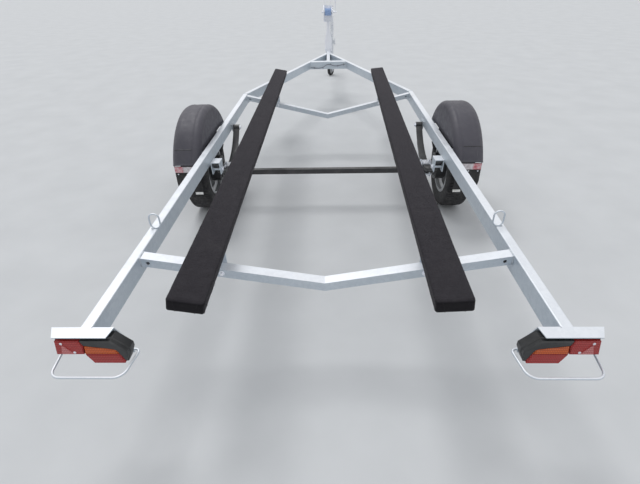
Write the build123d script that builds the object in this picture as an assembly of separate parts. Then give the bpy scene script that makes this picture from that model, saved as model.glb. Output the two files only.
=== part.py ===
from build123d import *
from math import atan2, cos, degrees, radians, sin, sqrt, tan
import os

# Single axle boat trailer with two carpeted bunks, standing on its jockey wheel.
# Millimetres. X across, Y forward to the coupler, Z up from the ground.
# Lengths along the trailer are first counted from the rear ends of the side rails,
# and each node is moved at the end so that Y = 0 is the middle of the whole length.

# Frame tubes
frame_width = 1520
rail_length = 2980
apex_length = 5230
rail_top = 530
tube_width = 40
tube_height = 80
tube_wall = 3
tube_corner = 5

# V shaped crossbars: distance of each from the rear, drop at the middle
crossbar_height = 38
crossbar_depth = 48
crossbar_wall = 3
crossbar_below_rail = 4
rear_crossbar_at = 405
rear_crossbar_drop = 127
front_crossbar_back = 57
front_crossbar_drop = 172
crossbar_hole_radius = 7
crossbar_hole_inset = 30

# Nose beam between the front arms, and the drawbar ahead of it
nose_beam_back = 722
nose_beam_depth = 80
drawbar_ahead = 1450

# Coupler on the drawbar's end
ball_radius = 25
ball_clearance = 0.2
coupler_wall = 5
coupler_shell = 8
coupler_ball_ahead = 130
coupler_channel_length = 190
coupler_socket_straight = 20
coupler_neck_share = 0.8
# Latch handle: columns are distance behind the ball and height above the coupler
coupler_handle_shape = [(150, 42), (150, 30), (60, 14), (60, 0), (20, 0), (20, 22)]
coupler_handle_width = 28

# Axle and its wheels
axle_at = 1865
axle_size = 34
# The beam lies below the spindles, which stand on plates at its ends
axle_drop = 30
spindle_plate = 8
wheel_from_rail = 108
tyre_radius = 280
tyre_width = 160
tyre_shoulder = 26
tyre_shoulder_share = 0.3
rim_radius = 170
rim_width = 138
rim_wall = 4
rim_lip = 14
rim_seat = 22
rim_slope = 12
rim_well_depth = 20
rim_inside_step = 2
rim_disc_x = 22
rim_disc_thickness = 5
rim_disc_flat = 74
rim_crown_radius = 94
rim_crown_rise = 18
rim_foot_rise = 10
rim_slots = 12
rim_slot_radius = 112
rim_slot_length = 34
rim_slot_width = 18
hub_radius = 90
hub_flange_radius = 62
hub_flange_thickness = 10
hub_under_rail = 10
hub_body_length = 66
hub_neck_radius = 44
hub_step = 7
spindle_radius = 17
spindle_clearance = 0.05
dust_cap_radius = 29
dust_cap_length = 26
dust_cap_wall = 6
spindle_end_gap = 8
axle_end_gap = 8

# Leaf springs beside the rails' inner faces
spring_width = 45
leaf_thickness = 8
leaf_half_lengths = (350, 262, 166)
spring_camber = 158
spring_pad = 5
eye_radius = 20
eye_bolt_radius = 8
hanger_plate = 5
hanger_reach = 26
hanger_gap = 1.0
hanger_bolt_end = 7
hanger_above_eye = 12
hanger_above_leaf = 4
eye_back_share = 0.7
eye_up_share = 0.6

# Clamps that hold each spring on the axle
clamp_rod_radius = 6
clamp_plate = 10
clamp_rod_clearance = 1
clamp_margin = 12
clamp_rod_below = 14
clamp_rod_above = 8
bump_stop_radius = 24
bump_stop_tip_share = 0.35
bump_stop_height = 52

# Mudguards and flaps
guard_from_rail = 15
guard_width = 185
guard_radius = 435
guard_wall = 4
guard_outer_skirt = 70
guard_inner_skirt = 40
guard_side_above_bar = 5
guard_outer_round = 60
guard_inner_round = 36
guard_end_angle = 24.5
guard_bar_inset = 55
guard_bar_below = 15
guard_bar_height = 30
guard_bar_thickness = 6
flap_thickness = 4
flap_overlap = 14
flap_bottom = 246
flap_step = 8
flap_inset = 18
flap_inner_corner = 20
flap_outer_corner = 90

# Carpeted bunks
bunk_width = 121
bunk_thickness = 49
bunk_edge = 5
bunk_rear_end = 20
bunk_front_overhang = 627
bunk_rear_inset = 352
bunk_front_inset = 277
# Both rear or front ends stand this far to the right, a minus means to the left
bunk_rear_shift = -10
bunk_front_shift = 11
bunk_top_above_rail = 85
# Each bunk's inner edge is lower by this turn, left and right
bunk_tilts = {-1: 11, 1: 5}

# Brackets that carry the bunks on the crossbars
bracket_plate = 6
bracket_width = 60
bracket_pad_length = 74
bracket_pad_width = 96

# Lamp brackets, lamps and their guard hoops at the rear ends
shelf_inner_inset = 109
shelf_overhang = 89
shelf_depth = 46
sheet = 3
shelf_slant = 7
shelf_outer_slant = 23
plate_inner_inset = 148
plate_low = 108
plate_slope = 60
lamp_inner_inset = 157
lamp_width = 235
lamp_depth = 46
lamp_drop = 12
lamp_tall = 103
lamp_low = 65
lamp_split = 121
lamp_split_slant = 20
lamp_top_cut = 44
lamp_low_cut_across = 18
lamp_low_cut_up = 42
lens_thickness = 14
lens_margin = 5
hoop_rod_radius = 4
hoop_lamp_gap = 10
hoop_outer_gap = 7
hoop_splay = 14
hoop_foot = 44
hoop_behind_rail = 112
hoop_below_rail = 100
hoop_bend = 35
hoop_foot_bend = 16

# Tie down rings on the rails
ring_at = 600
ring_rod_radius = 3.5
ring_width = 50
ring_height = 75
ring_from_edge = 6
ring_bend_share = 0.95

# Winch post, winch and bow stop
post_ahead = 140
post_width = 40
post_depth = 50
post_height = 430
post_wall = 3
post_base_width = 92
post_base_length = 160
post_base_plate = 6
post_base_drop = 40
post_gusset_shoulder = 120
post_gusset_height = 230
post_gusset_narrow = 44
winch_plate = 4
winch_inside = 104
winch_plate_height = 190
winch_plate_depth = 130
winch_base_height = 350
winch_top_length = 50
winch_front_cut = 50
winch_low_cut_up = 60
winch_low_length = 30
drum_radius = 22
drum_flange_radius = 52
drum_flange = 3
drum_side_gap = 5
drum_axle_up = 118
drum_axle_back = 82
strap_radius = 44
strap_side_gap = 3
shaft_radius = 9
shaft_clearance = 0.05
crank_offset = 42
crank_length = 190
crank_bar = 8
crank_half_height = 12
shaft_end = 12
crank_grip_radius = 13
crank_grip_length = 90
fork_rise = 330
fork_bar = 30
fork_inside = 70
fork_plate_below = 90
fork_plate_height = 80
roller_radius = 36
roller_length = 62
roller_pin_radius = 8
roller_waist_share = 0.62
roller_end_flat = 8
roller_waist_half = 5

# Jockey wheel, clamped to the side of the drawbar
jockey_back = 250
jockey_tube_radius = 24
jockey_tube_wall = 2.5
leg_clearance = 0.3
jockey_leg_wall = 3
jockey_tube_bottom = 400
jockey_tube_top = 870
jockey_leg_bottom = 214
jockey_leg_top = 640
jockey_wheel_radius = 82
jockey_wheel_width = 50
jockey_trail = 46
jockey_castor_turn = 28
jockey_axle_radius = 8
jockey_axle_end = 6
jockey_tread_inset = 12
jockey_hub_inner = 26
jockey_hub_outer = 32
jockey_tyre_depth = 26
jockey_side_depth = 18
jockey_shoulder_depth = 5
jockey_shoulder = 6
jockey_tread_edge = 16
fork_plate = 5
fork_side_gap = 5
fork_back = 18
fork_front = 26
fork_lower = 20
stem_radius = 7
stem_below = 6
leg_floor = 10
castor_gap = 1.0
clamp_wall = 8
clamp_height = 60
clamp_half_length = 34
clamp_lug_reach = 24
clamp_lug_half = 9
clamp_lug_inset = 8
jockey_head_wall = 6
crank_post_height = 60
crank_post_radius = 9
crank_grip_back = 10
jockey_crank_reach = 120
jockey_grip_radius = 12
jockey_grip_length = 78

# Cable held along the rear face of the nose beam
cable_radius = 3.5
cable_end_gap = 8
cable_bend_share = 0.45

# Small gap between neighbours that must not overlap
seat_gap = 0.3
# Extra reach of a cutting shape past the face that it cuts
past = 50

half_frame = frame_width / 2
rail_centre_x = half_frame - tube_width / 2
rail_bottom = rail_top - tube_height
arm_turn = atan2(half_frame, apex_length - rail_length)
drawbar_side = tube_width / 2
axle_z = tyre_radius
jockey_leg_radius = jockey_tube_radius - jockey_tube_wall - leg_clearance
beam_top_z = axle_z - axle_drop + axle_size / 2
spring_base_z = beam_top_z + spring_pad
front_crossbar_at = rail_length - front_crossbar_back
nose_beam_at = apex_length - nose_beam_back
post_at = apex_length + post_ahead
drawbar_end = apex_length + drawbar_ahead
jockey_at = drawbar_end - jockey_back
coupler_at = drawbar_end + coupler_ball_ahead
nose_front = coupler_at + ball_radius + coupler_shell
rear_reach = -hoop_behind_rail - hoop_rod_radius
middle_y = (nose_front + rear_reach) / 2
wheel_centre_x = half_frame + wheel_from_rail
hub_inner_x = half_frame - hub_under_rail
spring_x = half_frame - tube_width - hanger_plate - hanger_gap - spring_width / 2
guard_inner_x = half_frame + guard_from_rail
guard_outer_x = guard_inner_x + guard_width
guard_side_bottom = rail_top - guard_bar_below + guard_side_above_bar
guard_bar_radius = guard_radius - guard_bar_inset
shelf_inner_x = half_frame - shelf_inner_inset
shelf_outer_x = half_frame + shelf_overhang
plate_inner_x = half_frame - plate_inner_inset
lamp_inner_x = half_frame - lamp_inner_inset
lamp_outer_x = lamp_inner_x + lamp_width
lamp_split_x = lamp_inner_x + lamp_split
hoop_inner_x = lamp_inner_x - hoop_lamp_gap
hoop_outer_x = lamp_outer_x + hoop_outer_gap
bunk_front_end = rail_length + bunk_front_overhang
bunk_rear_x = half_frame - bunk_rear_inset
bunk_front_x = half_frame - bunk_front_inset

SIDES = {"left": -1, "right": 1}


def block(x0, x1, y0, y1, z0, z1):
    """Box between two corners."""
    size = (x1 - x0, y1 - y0, z1 - z0)
    return Pos((x0 + x1) / 2, (y0 + y1) / 2, (z0 + z1) / 2) * Box(*size)


def rod_x(radius, x0, x1, y, z):
    """Cylinder along X."""
    return Pos((x0 + x1) / 2, y, z) * Rot(0, 90, 0) * Cylinder(radius, x1 - x0)


def rod_y(radius, y0, y1, x, z):
    """Cylinder along Y."""
    return Pos(x, (y0 + y1) / 2, z) * Rot(90, 0, 0) * Cylinder(radius, y1 - y0)


def rod_z(radius, z0, z1, x, y):
    """Cylinder along Z."""
    return Pos(x, y, (z0 + z1) / 2) * Cylinder(radius, z1 - z0)


def plan(points, z0, z1):
    """Outline seen from above, made solid between two heights."""
    face = make_face(Polyline(*[(x, y, 0) for x, y in points], close=True))
    return Pos(0, 0, z0) * extrude(face, z1 - z0, dir=(0, 0, 1))


def elevation(points, y0, y1):
    """Outline of X and Z seen from behind, made solid between two lengths."""
    face = make_face(Polyline(*[(x, 0, z) for x, z in points], close=True))
    return Pos(0, y0, 0) * extrude(face, y1 - y0, dir=(0, 1, 0))


def profile(points, x0, x1):
    """Outline of Y and Z seen from the side, made solid across a width."""
    face = make_face(Polyline(*[(0, y, z) for y, z in points], close=True))
    return Pos(x0, 0, 0) * extrude(face, x1 - x0, dir=(1, 0, 0))


def box_tube(width, height, wall, corner, length):
    """Hollow tube along Y from 0, its top face at Z = 0."""
    outer = RectangleRounded(width, height, corner)
    inner = RectangleRounded(width - 2 * wall, height - 2 * wall, max(corner - wall, 1))
    ring = Plane.XZ * (outer - inner)
    return Pos(0, 0, -height / 2) * extrude(ring, length, dir=(0, 1, 0))


def bent_rod(points, bends, radius, closed=False):
    """Round rod along straight runs joined by arcs."""
    path = FilletPolyline(*points, radius=bends, close=closed)
    return sweep((path ^ 0) * Circle(radius), path=path)


def mirrored(shape, side):
    """A piece drawn on the right, or its mirror image on the left."""
    return shape if side > 0 else mirror(shape, about=Plane.YZ)


def side_rail():
    """Right side rail, mitred to its front arm."""
    mitre_inner = rail_length - tube_width * tan(arm_turn / 2)
    tube = box_tube(tube_width, tube_height, tube_wall, tube_corner, rail_length + past)
    outline = [(0, 0), (2 * rail_centre_x, 0)]
    slope = (rail_length - mitre_inner) / tube_width
    outline += [(2 * rail_centre_x, rail_length + slope * (2 * rail_centre_x - half_frame))]
    outline += [(0, rail_length - slope * half_frame)]
    return (Pos(rail_centre_x, 0, rail_top) * tube) & plan(outline, 0, 2 * rail_top)


def front_arm():
    """Right front arm from the rail's mitre to the drawbar's side."""
    slope = tan(arm_turn / 2)
    centre_y = rail_length - slope * tube_width / 2
    run = (rail_centre_x - drawbar_side) / sin(arm_turn)
    tube = Pos(0, -past, 0) * box_tube(tube_width, tube_height, tube_wall, tube_corner, run + 3 * past)
    tube = Pos(rail_centre_x, centre_y, rail_top) * Rot(0, 0, degrees(arm_turn)) * tube
    outer_x = half_frame + past
    outline = [(outer_x, centre_y + slope * (outer_x - rail_centre_x))]
    outline += [(outer_x, 2 * apex_length), (drawbar_side, 2 * apex_length)]
    outline += [(drawbar_side, centre_y - slope * (rail_centre_x - drawbar_side))]
    return tube & plan(outline, 0, 2 * rail_top)


def inner_arm_x(y):
    """Distance from the middle to the inner face of a front arm, at a given length."""
    centre_y = rail_length - tan(arm_turn / 2) * tube_width / 2
    centre_x = rail_centre_x - (y - centre_y) * tan(arm_turn)
    return centre_x - tube_width / 2 / cos(arm_turn)


def crossbar(at, drop):
    """V shaped crossbar between the rails, hollow, with a hole near each end."""
    reach = half_frame - tube_width
    top = rail_top - crossbar_below_rail
    size = crossbar_height
    half = crossbar_depth / 2
    outline = [(-reach, top), (0, top - drop), (reach, top)]
    outline += [(reach, top - size), (0, top - drop - size), (-reach, top - size)]
    solid = elevation(outline, at - half, at + half)
    wall = crossbar_wall
    inside = [(-reach - wall, top - wall), (0, top - drop - wall), (reach + wall, top - wall)]
    inside += [(reach + wall, top - size + wall), (0, top - drop - size + wall)]
    inside += [(-reach - wall, top - size + wall)]
    solid -= elevation(inside, at - half + wall, at + half - wall)
    hole_x = reach - crossbar_hole_inset
    hole_z = top - size / 2 - drop * crossbar_hole_inset / reach
    for side in SIDES.values():
        solid -= rod_y(crossbar_hole_radius, at - 2 * half, at + 2 * half, side * hole_x, hole_z)
    return solid


def crossbar_top(at_x, drop):
    """Height of a crossbar's top face at a given distance from the middle."""
    reach = half_frame - tube_width
    return rail_top - crossbar_below_rail - drop * (1 - abs(at_x) / reach)


def nose_beam():
    """Beam between the two front arms."""
    back = nose_beam_at - nose_beam_depth / 2
    front = nose_beam_at + nose_beam_depth / 2
    outline = [(-inner_arm_x(back), back), (inner_arm_x(back), back)]
    outline += [(inner_arm_x(front), front), (-inner_arm_x(front), front)]
    hollow = block(-half_frame, half_frame, back + tube_wall, front - tube_wall,
                   rail_bottom + tube_wall, rail_top - tube_wall)
    return plan(outline, rail_bottom, rail_top) - hollow


def drawbar():
    """Middle tube from the nose beam to the coupler."""
    start = nose_beam_at + nose_beam_depth / 2
    tube = box_tube(tube_width, tube_height, tube_wall, tube_corner, drawbar_end - start)
    return Pos(0, start, rail_top) * tube


def coupler():
    """Pressed steel ball coupler with a channel over the drawbar's end."""
    inside = drawbar_side + seat_gap
    outside = inside + coupler_wall
    top = rail_top + coupler_wall
    channel_back = drawbar_end - coupler_channel_length
    shell_radius = ball_radius + coupler_shell
    socket_z = rail_top - tube_height / 2
    low = socket_z - coupler_socket_straight
    channel = block(-outside, outside, channel_back, coupler_at, low, top)
    channel -= block(-inside, inside, channel_back - past, drawbar_end + seat_gap, 0, rail_top)
    head = rod_z(shell_radius, low, socket_z, 0, coupler_at)
    head += Pos(0, coupler_at, socket_z) * Sphere(shell_radius)
    head &= block(-past, past, coupler_at - past, coupler_at + past, low, top)
    neck_top = socket_z + shell_radius * coupler_neck_share
    neck = block(-outside, outside, drawbar_end + seat_gap, coupler_at, low, neck_top)
    bore = ball_radius + ball_clearance
    cavity = rod_z(bore, socket_z - past, socket_z, 0, coupler_at)
    cavity += Pos(0, coupler_at, socket_z) * Sphere(bore)
    return channel + head + neck - cavity


def coupler_handle():
    """Latch handle on top of the coupler."""
    base_z = rail_top + coupler_wall + seat_gap
    points = [(coupler_at - back, base_z + up) for back, up in coupler_handle_shape]
    return profile(points, -coupler_handle_width / 2, coupler_handle_width / 2)


def wheel_profile_ring(points):
    """Solid of revolution about the wheel's axis, from pairs of X and radius."""
    face = make_face(Polyline(*[(x, 0, r) for x, r in points], close=True))
    return Pos(0, axle_at, axle_z) * revolve(face, Axis.X, 360)


def tyre():
    """Right tyre, a plain ring with rounded shoulders."""
    x0 = wheel_centre_x - tyre_width / 2
    x1 = wheel_centre_x + tyre_width / 2
    bead = rim_radius + seat_gap
    step = tyre_shoulder
    part = tyre_shoulder * tyre_shoulder_share
    bead0 = wheel_centre_x - rim_width / 2 + rim_wall + seat_gap
    bead1 = wheel_centre_x + rim_width / 2 - rim_wall - seat_gap
    lip = bead + rim_lip
    points = [(bead0, bead), (bead0, lip), (x0, bead + 2 * step), (x0, tyre_radius - step)]
    points += [(x0 + part, tyre_radius - part), (x0 + step, tyre_radius)]
    points += [(x1 - step, tyre_radius), (x1 - part, tyre_radius - part)]
    points += [(x1, tyre_radius - step), (x1, bead + 2 * step), (bead1, lip), (bead1, bead)]
    return wheel_profile_ring(points)


def rim():
    """Right rim: drop centre barrel with a dished disc."""
    x0 = wheel_centre_x - rim_width / 2
    x1 = wheel_centre_x + rim_width / 2
    disc = wheel_centre_x + rim_disc_x
    top = rim_radius
    lip = top + rim_lip
    well = top - rim_well_depth
    wall = rim_wall
    seat = rim_seat
    low = rim_seat + rim_slope
    step = rim_inside_step
    outer = [(x0, lip), (x0 + wall, lip), (x0 + wall, top), (x0 + seat, top), (x0 + low, well)]
    outer += [(x1 - low, well), (x1 - seat, top), (x1 - wall, top), (x1 - wall, lip), (x1, lip)]
    inner = [(x1, top - wall), (x1 - seat - step, top - wall), (x1 - low - step, well - wall)]
    inner += [(x0 + low + step, well - wall), (x0 + seat + step, top - wall), (x0, top - wall)]
    barrel = wheel_profile_ring(outer + inner)
    thick = rim_disc_thickness
    hole = dust_cap_radius + seat_gap
    flat = rim_disc_flat
    crown = rim_crown_radius
    rise = disc + rim_crown_rise
    foot = disc + rim_foot_rise
    dish = [(disc, hole), (disc + thick, hole), (disc + thick, flat), (rise + thick, crown)]
    dish += [(foot + thick, well - wall), (foot, well - wall), (rise - wall, crown), (disc, flat)]
    shape = barrel + wheel_profile_ring(dish)
    slot = SlotOverall(rim_slot_length, rim_slot_width)
    slot = Pos(0, rim_slot_radius) * slot
    for number in range(rim_slots):
        cutter = Rot(0, 0, 360 * number / rim_slots) * slot
        cutter = Plane.YZ * cutter
        cutter = Pos(disc - past, axle_at, axle_z) * extrude(cutter, 2 * past, dir=(1, 0, 0))
        shape -= cutter
    return shape


def hub():
    """Right hub with a flange for the rim and a dust cap, bored for the spindle."""
    flange_x = wheel_centre_x + rim_disc_x - seat_gap
    bore = spindle_radius + spindle_clearance
    end = flange_x + dust_cap_length
    cap_inside = end - dust_cap_wall
    body_end = hub_inner_x + hub_body_length
    flange_back = flange_x - hub_flange_thickness
    points = [(hub_inner_x, bore), (hub_inner_x, hub_radius), (body_end, hub_radius)]
    points += [(body_end + hub_step, hub_neck_radius), (flange_back, hub_neck_radius)]
    points += [(flange_back, hub_flange_radius), (flange_x, hub_flange_radius)]
    points += [(flange_x, dust_cap_radius), (end, dust_cap_radius), (end, 0), (cap_inside, 0)]
    points += [(cap_inside, bore)]
    return wheel_profile_ring(points)


def axle():
    """Dropped axle beam with a plate and a spindle at each end."""
    beam_end = hub_inner_x - axle_end_gap
    half = axle_size / 2
    low = beam_top_z - axle_size
    beam = block(-beam_end, beam_end, axle_at - half, axle_at + half, low, beam_top_z)
    spindle_end = wheel_centre_x + rim_disc_x + dust_cap_length - spindle_end_gap
    for side in SIDES.values():
        inner, outer = sorted((side * (beam_end - spindle_plate), side * beam_end))
        beam += block(inner, outer, axle_at - half, axle_at + half, low, axle_z + half)
        inner, outer = sorted((side * (beam_end - spindle_plate), side * spindle_end))
        beam += rod_x(spindle_radius, inner, outer, axle_at, axle_z)
    return beam


def spring_radius():
    """Radius of the upper leaf's curve."""
    half = leaf_half_lengths[0]
    return (half ** 2 + spring_camber ** 2) / (2 * spring_camber)


def leaf_top_z(offset):
    """Height of the upper leaf's lower face at an offset from the axle."""
    base = spring_base_z + leaf_thickness * (len(leaf_half_lengths) - 1)
    radius = spring_radius()
    return base + radius - sqrt(radius ** 2 - offset ** 2)


def leaf_spring():
    """Right leaf spring: a long upper leaf with an eye, and shorter leaves below it."""
    radius = spring_radius()
    centre_z = leaf_top_z(0) + radius
    shape = None
    for number, half in enumerate(leaf_half_lengths):
        inner = radius - leaf_thickness + number * leaf_thickness
        outer = inner + leaf_thickness
        arcs = []
        for r in (inner, outer):
            rise = centre_z - sqrt(r ** 2 - half ** 2)
            ends = [(0, axle_at - half, rise), (0, axle_at + half, rise)]
            arcs.append(ThreePointArc(ends[0], (0, axle_at, centre_z - r), ends[1]))
        ends = [Line(arcs[0] @ 0, arcs[1] @ 0), Line(arcs[0] @ 1, arcs[1] @ 1)]
        face = make_face(arcs + ends)
        leaf = extrude(face, spring_width / 2, dir=(1, 0, 0), both=True)
        shape = leaf if shape is None else shape + leaf
    eye_y, eye_z = spring_eye()
    half = spring_width / 2
    shape += rod_x(eye_radius, -half, half, eye_y, eye_z)
    shape -= rod_x(eye_bolt_radius + seat_gap, -spring_width, spring_width, eye_y, eye_z)
    return Pos(spring_x, 0, 0) * shape


def spring_eye():
    """Place of the front eye, as length and height."""
    half = leaf_half_lengths[0]
    eye_z = leaf_top_z(half) + eye_radius * eye_up_share
    return axle_at + half + eye_radius * eye_back_share, eye_z


def hanger_outline(pin_y, pin_z, high):
    """Side view of a hanger, wide at the rail and narrow at the pin."""
    low = pin_z - hanger_reach
    wide = tube_height / 2
    points = [(pin_y - wide, high), (pin_y + wide, high)]
    return points + [(pin_y + hanger_reach, low), (pin_y - hanger_reach, low)]


def front_hanger():
    """Plate on the rail's inner face with the pin through the spring's eye."""
    inside = spring_width / 2 + hanger_gap
    outside = inside + hanger_plate
    pin_y, pin_z = spring_eye()
    high = pin_z + eye_radius + hanger_above_eye
    solid = profile(hanger_outline(pin_y, pin_z, high), inside, outside)
    solid += rod_x(eye_bolt_radius, -outside - hanger_bolt_end, outside, pin_y, pin_z)
    return Pos(spring_x, 0, 0) * solid


def rear_hanger():
    """Folded slipper hanger on the rail's inner face, its pin just under the end of the upper leaf."""
    inside = spring_width / 2 + hanger_gap
    outside = inside + hanger_plate
    offset = leaf_half_lengths[0] - hanger_reach
    reach = spring_radius() + eye_bolt_radius + seat_gap
    pin_y = axle_at - offset
    pin_z = leaf_top_z(0) + spring_radius() - sqrt(reach ** 2 - offset ** 2)
    high = leaf_top_z(leaf_half_lengths[0]) + leaf_thickness + hanger_above_leaf + hanger_plate
    solid = profile(hanger_outline(pin_y, pin_z, high), -outside, outside)
    solid -= block(-inside, inside, pin_y - past, pin_y + past, 0, high - hanger_plate)
    solid += rod_x(eye_bolt_radius, -outside - hanger_bolt_end, outside, pin_y, pin_z)
    return Pos(spring_x, 0, 0) * solid


def axle_clamp():
    """Plates above and below with four rods that hold the spring on the axle."""
    rod_x_at = spring_width / 2 + clamp_rod_radius + clamp_rod_clearance
    rod_y_at = axle_size / 2 + clamp_rod_radius + clamp_rod_clearance
    edge_x = rod_x_at + clamp_margin
    edge_y = rod_y_at + clamp_margin
    top = leaf_top_z(edge_y) + leaf_thickness + seat_gap
    bottom = beam_top_z - axle_size - seat_gap
    solid = block(-edge_x, edge_x, axle_at - edge_y, axle_at + edge_y, top, top + clamp_plate)
    solid += block(-edge_x, edge_x, axle_at - edge_y, axle_at + edge_y, bottom - clamp_plate, bottom)
    low = bottom - clamp_plate - clamp_rod_below
    high = top + clamp_plate + clamp_rod_above
    for x in (-rod_x_at, rod_x_at):
        for y in (-rod_y_at, rod_y_at):
            solid += rod_z(clamp_rod_radius, low, high, x, axle_at + y)
    return Pos(spring_x, 0, 0) * solid


def bump_stop():
    """Rubber cone under the rail, above the axle."""
    tip = bump_stop_radius * bump_stop_tip_share
    cone = Cone(tip, bump_stop_radius, bump_stop_height)
    return Pos(rail_centre_x, axle_at, rail_bottom - bump_stop_height / 2) * cone


def spring_seat():
    """Pad between the axle and the spring."""
    half = axle_size / 2
    return block(spring_x - spring_width / 2, spring_x + spring_width / 2,
                 axle_at - half, axle_at + half, beam_top_z, spring_base_z)


def mudguard():
    """Right mudguard: rounded section turned about the axle, its inner side closed above the rail."""
    wide = guard_outer_x - guard_inner_x
    deep = guard_outer_skirt
    centre = (guard_inner_x + guard_outer_x) / 2
    middle_r = guard_radius - deep / 2
    outer = Rectangle(wide, deep)
    outer = fillet(outer.vertices().group_by(Axis.Y)[-1].sort_by(Axis.X)[0], guard_inner_round)
    outer = fillet(outer.vertices().group_by(Axis.Y)[-1].sort_by(Axis.X)[-1], guard_outer_round)
    inner = Rectangle(wide - 2 * guard_wall, deep)
    inner = fillet(inner.vertices().group_by(Axis.Y)[-1].sort_by(Axis.X)[0], guard_inner_round - guard_wall)
    inner = fillet(inner.vertices().group_by(Axis.Y)[-1].sort_by(Axis.X)[-1], guard_outer_round - guard_wall)
    trim = Pos(-wide / 2, -guard_inner_skirt) * Rectangle(wide / 2, deep)
    section = outer - Pos(0, -guard_wall) * inner - trim
    face = Plane.XZ * Pos(centre, middle_r) * section
    face = Rot(-(90 - guard_end_angle), 0, 0) * face
    shell = revolve(face, Axis.X, 180 - 2 * guard_end_angle)
    disc = rod_x(guard_radius - guard_inner_round, guard_inner_x, guard_inner_x + guard_wall, 0, 0)
    disc &= block(0, guard_outer_x, -guard_radius, guard_radius, guard_side_bottom - axle_z, guard_radius)
    return Pos(0, axle_at, axle_z) * (shell + disc)


def guard_inside_y(z):
    """How far behind the axle the guard's inside lies at a given height."""
    return sqrt((guard_radius - guard_wall) ** 2 - (z - axle_z) ** 2)


def guard_bars():
    """Front and rear bars from the rail, under the mudguard, to its outer skirt."""
    top = rail_top - guard_bar_below
    middle = sqrt(guard_bar_radius ** 2 - (top - guard_bar_height / 2 - axle_z) ** 2)
    half = guard_bar_thickness / 2
    # The bar's upper outer corner meets the rounded shoulder of the skirt
    corner = sqrt((middle + half) ** 2 + (top - axle_z) ** 2)
    round_in = guard_outer_round - guard_wall
    rise = max(corner - (guard_radius - guard_outer_round), 0)
    end = guard_outer_x - guard_outer_round + sqrt(round_in ** 2 - rise ** 2) - seat_gap
    solids = []
    for way in (-1, 1):
        y = axle_at + way * middle
        solids.append(block(half_frame, end, y - half, y + half, top - guard_bar_height, top))
    return solids


def mud_flap():
    """Rubber flap hanging at the mudguard's rear edge, its tab inside the crown."""
    end_z = axle_z + (guard_radius - guard_wall) * sin(radians(guard_end_angle))
    top = end_z + flap_overlap
    back = axle_at - guard_inside_y(top) + seat_gap
    tab0 = guard_inner_x + guard_inner_round
    tab1 = guard_outer_x - guard_outer_round
    wide = end_z - flap_step
    x0 = guard_inner_x + flap_inset
    x1 = guard_outer_x - flap_inset
    points = [(tab0, top), (tab1, top), (tab1, wide), (x1, wide), (x1, flap_bottom)]
    points += [(x0, flap_bottom), (x0, wide), (tab0, wide)]
    flap = elevation(points, back, back + flap_thickness)
    for end, radius in ((0, flap_inner_corner), (-1, flap_outer_corner)):
        corner = flap.edges().filter_by(Axis.Y).group_by(Axis.Z)[0].sort_by(Axis.X)[end]
        flap = fillet(corner, radius)
    return flap


def bunk_ends(side):
    """Distances of a bunk's rear and front ends from the trailer's middle."""
    return bunk_rear_x + side * bunk_rear_shift, bunk_front_x + side * bunk_front_shift


def bunk_x(y, side):
    """Distance of a bunk's middle line from the trailer's middle, at a given length."""
    rear, front = bunk_ends(side)
    return rear + (front - rear) * (y - bunk_rear_end) / (bunk_front_end - bunk_rear_end)


def bunk_place(y, side):
    """Place on a bunk's top face, drawn on the right, tilted so that the inner edge is lower."""
    rear, front = bunk_ends(side)
    turn = -degrees(atan2(front - rear, bunk_front_end - bunk_rear_end))
    place = Pos(bunk_x(y, side), y, rail_top + bunk_top_above_rail)
    return place * Rot(0, 0, turn) * Rot(0, -bunk_tilts[side], 0)


def bunk(side):
    """Bunk of one side, a plank wrapped in carpet, drawn on the right."""
    middle = (bunk_rear_end + bunk_front_end) / 2
    plank = Box(bunk_width, bunk_front_end - bunk_rear_end, bunk_thickness)
    plank = fillet(plank.edges().filter_by(Axis.Y), bunk_edge)
    return bunk_place(middle, side) * Pos(0, 0, -bunk_thickness / 2) * plank


def bunk_bracket(at, drop, side):
    """Upright on a crossbar with a pad under the bunk, drawn on the right."""
    face_y = at + crossbar_depth / 2 + seat_gap
    x = bunk_x(face_y, side)
    low = crossbar_top(x, drop) - crossbar_height
    high = rail_top + bunk_top_above_rail - bunk_thickness / cos(radians(bunk_tilts[side]))
    half = bracket_width / 2
    upright = block(x - half, x + half, face_y, face_y + bracket_plate, low, high)
    under = bunk_thickness + seat_gap
    pad = Box(bracket_pad_width, bracket_pad_length, bracket_plate)
    shift_y = -bracket_pad_length / 2 + bracket_plate
    pad = bunk_place(face_y, side) * Pos(0, shift_y, -under - bracket_plate / 2) * pad
    above = Box(2 * bunk_width, 4 * past, 4 * past)
    above = bunk_place(face_y, side) * Pos(0, 0, -under + 2 * past) * above
    return upright - above + pad


def lamp_bracket():
    """Folded sheet at the rail's end: shelf over the lamp and plate in front of it."""
    top = rail_top
    shelf = [(shelf_inner_x, 0), (shelf_outer_x, 0), (shelf_outer_x - shelf_outer_slant, -shelf_depth)]
    shelf += [(shelf_inner_x + shelf_slant, -shelf_depth)]
    solid = plan(shelf, top - sheet, top)
    low = top - plate_low
    plate = [(plate_inner_x, low), (plate_inner_x, top - plate_slope), (shelf_inner_x, top)]
    plate += [(shelf_outer_x, top), (shelf_outer_x, low)]
    return solid + elevation(plate, -sheet, 0)


def lamp_outline(margin):
    """Outline of the rear lamp in X and Z, taller at its inner part."""
    top = rail_top - lamp_drop - margin
    x0 = lamp_inner_x + margin
    x1 = lamp_outer_x - margin
    low = top - lamp_tall + 2 * margin
    high = top - lamp_low + 2 * margin
    points = [(x0, top - lamp_top_cut), (x0 + lamp_top_cut, top), (x1, top), (x1, high)]
    points += [(lamp_split_x + lamp_split_slant, high), (lamp_split_x, low)]
    return points + [(x0 + lamp_low_cut_across, low), (x0, low + lamp_low_cut_up)]


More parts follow.
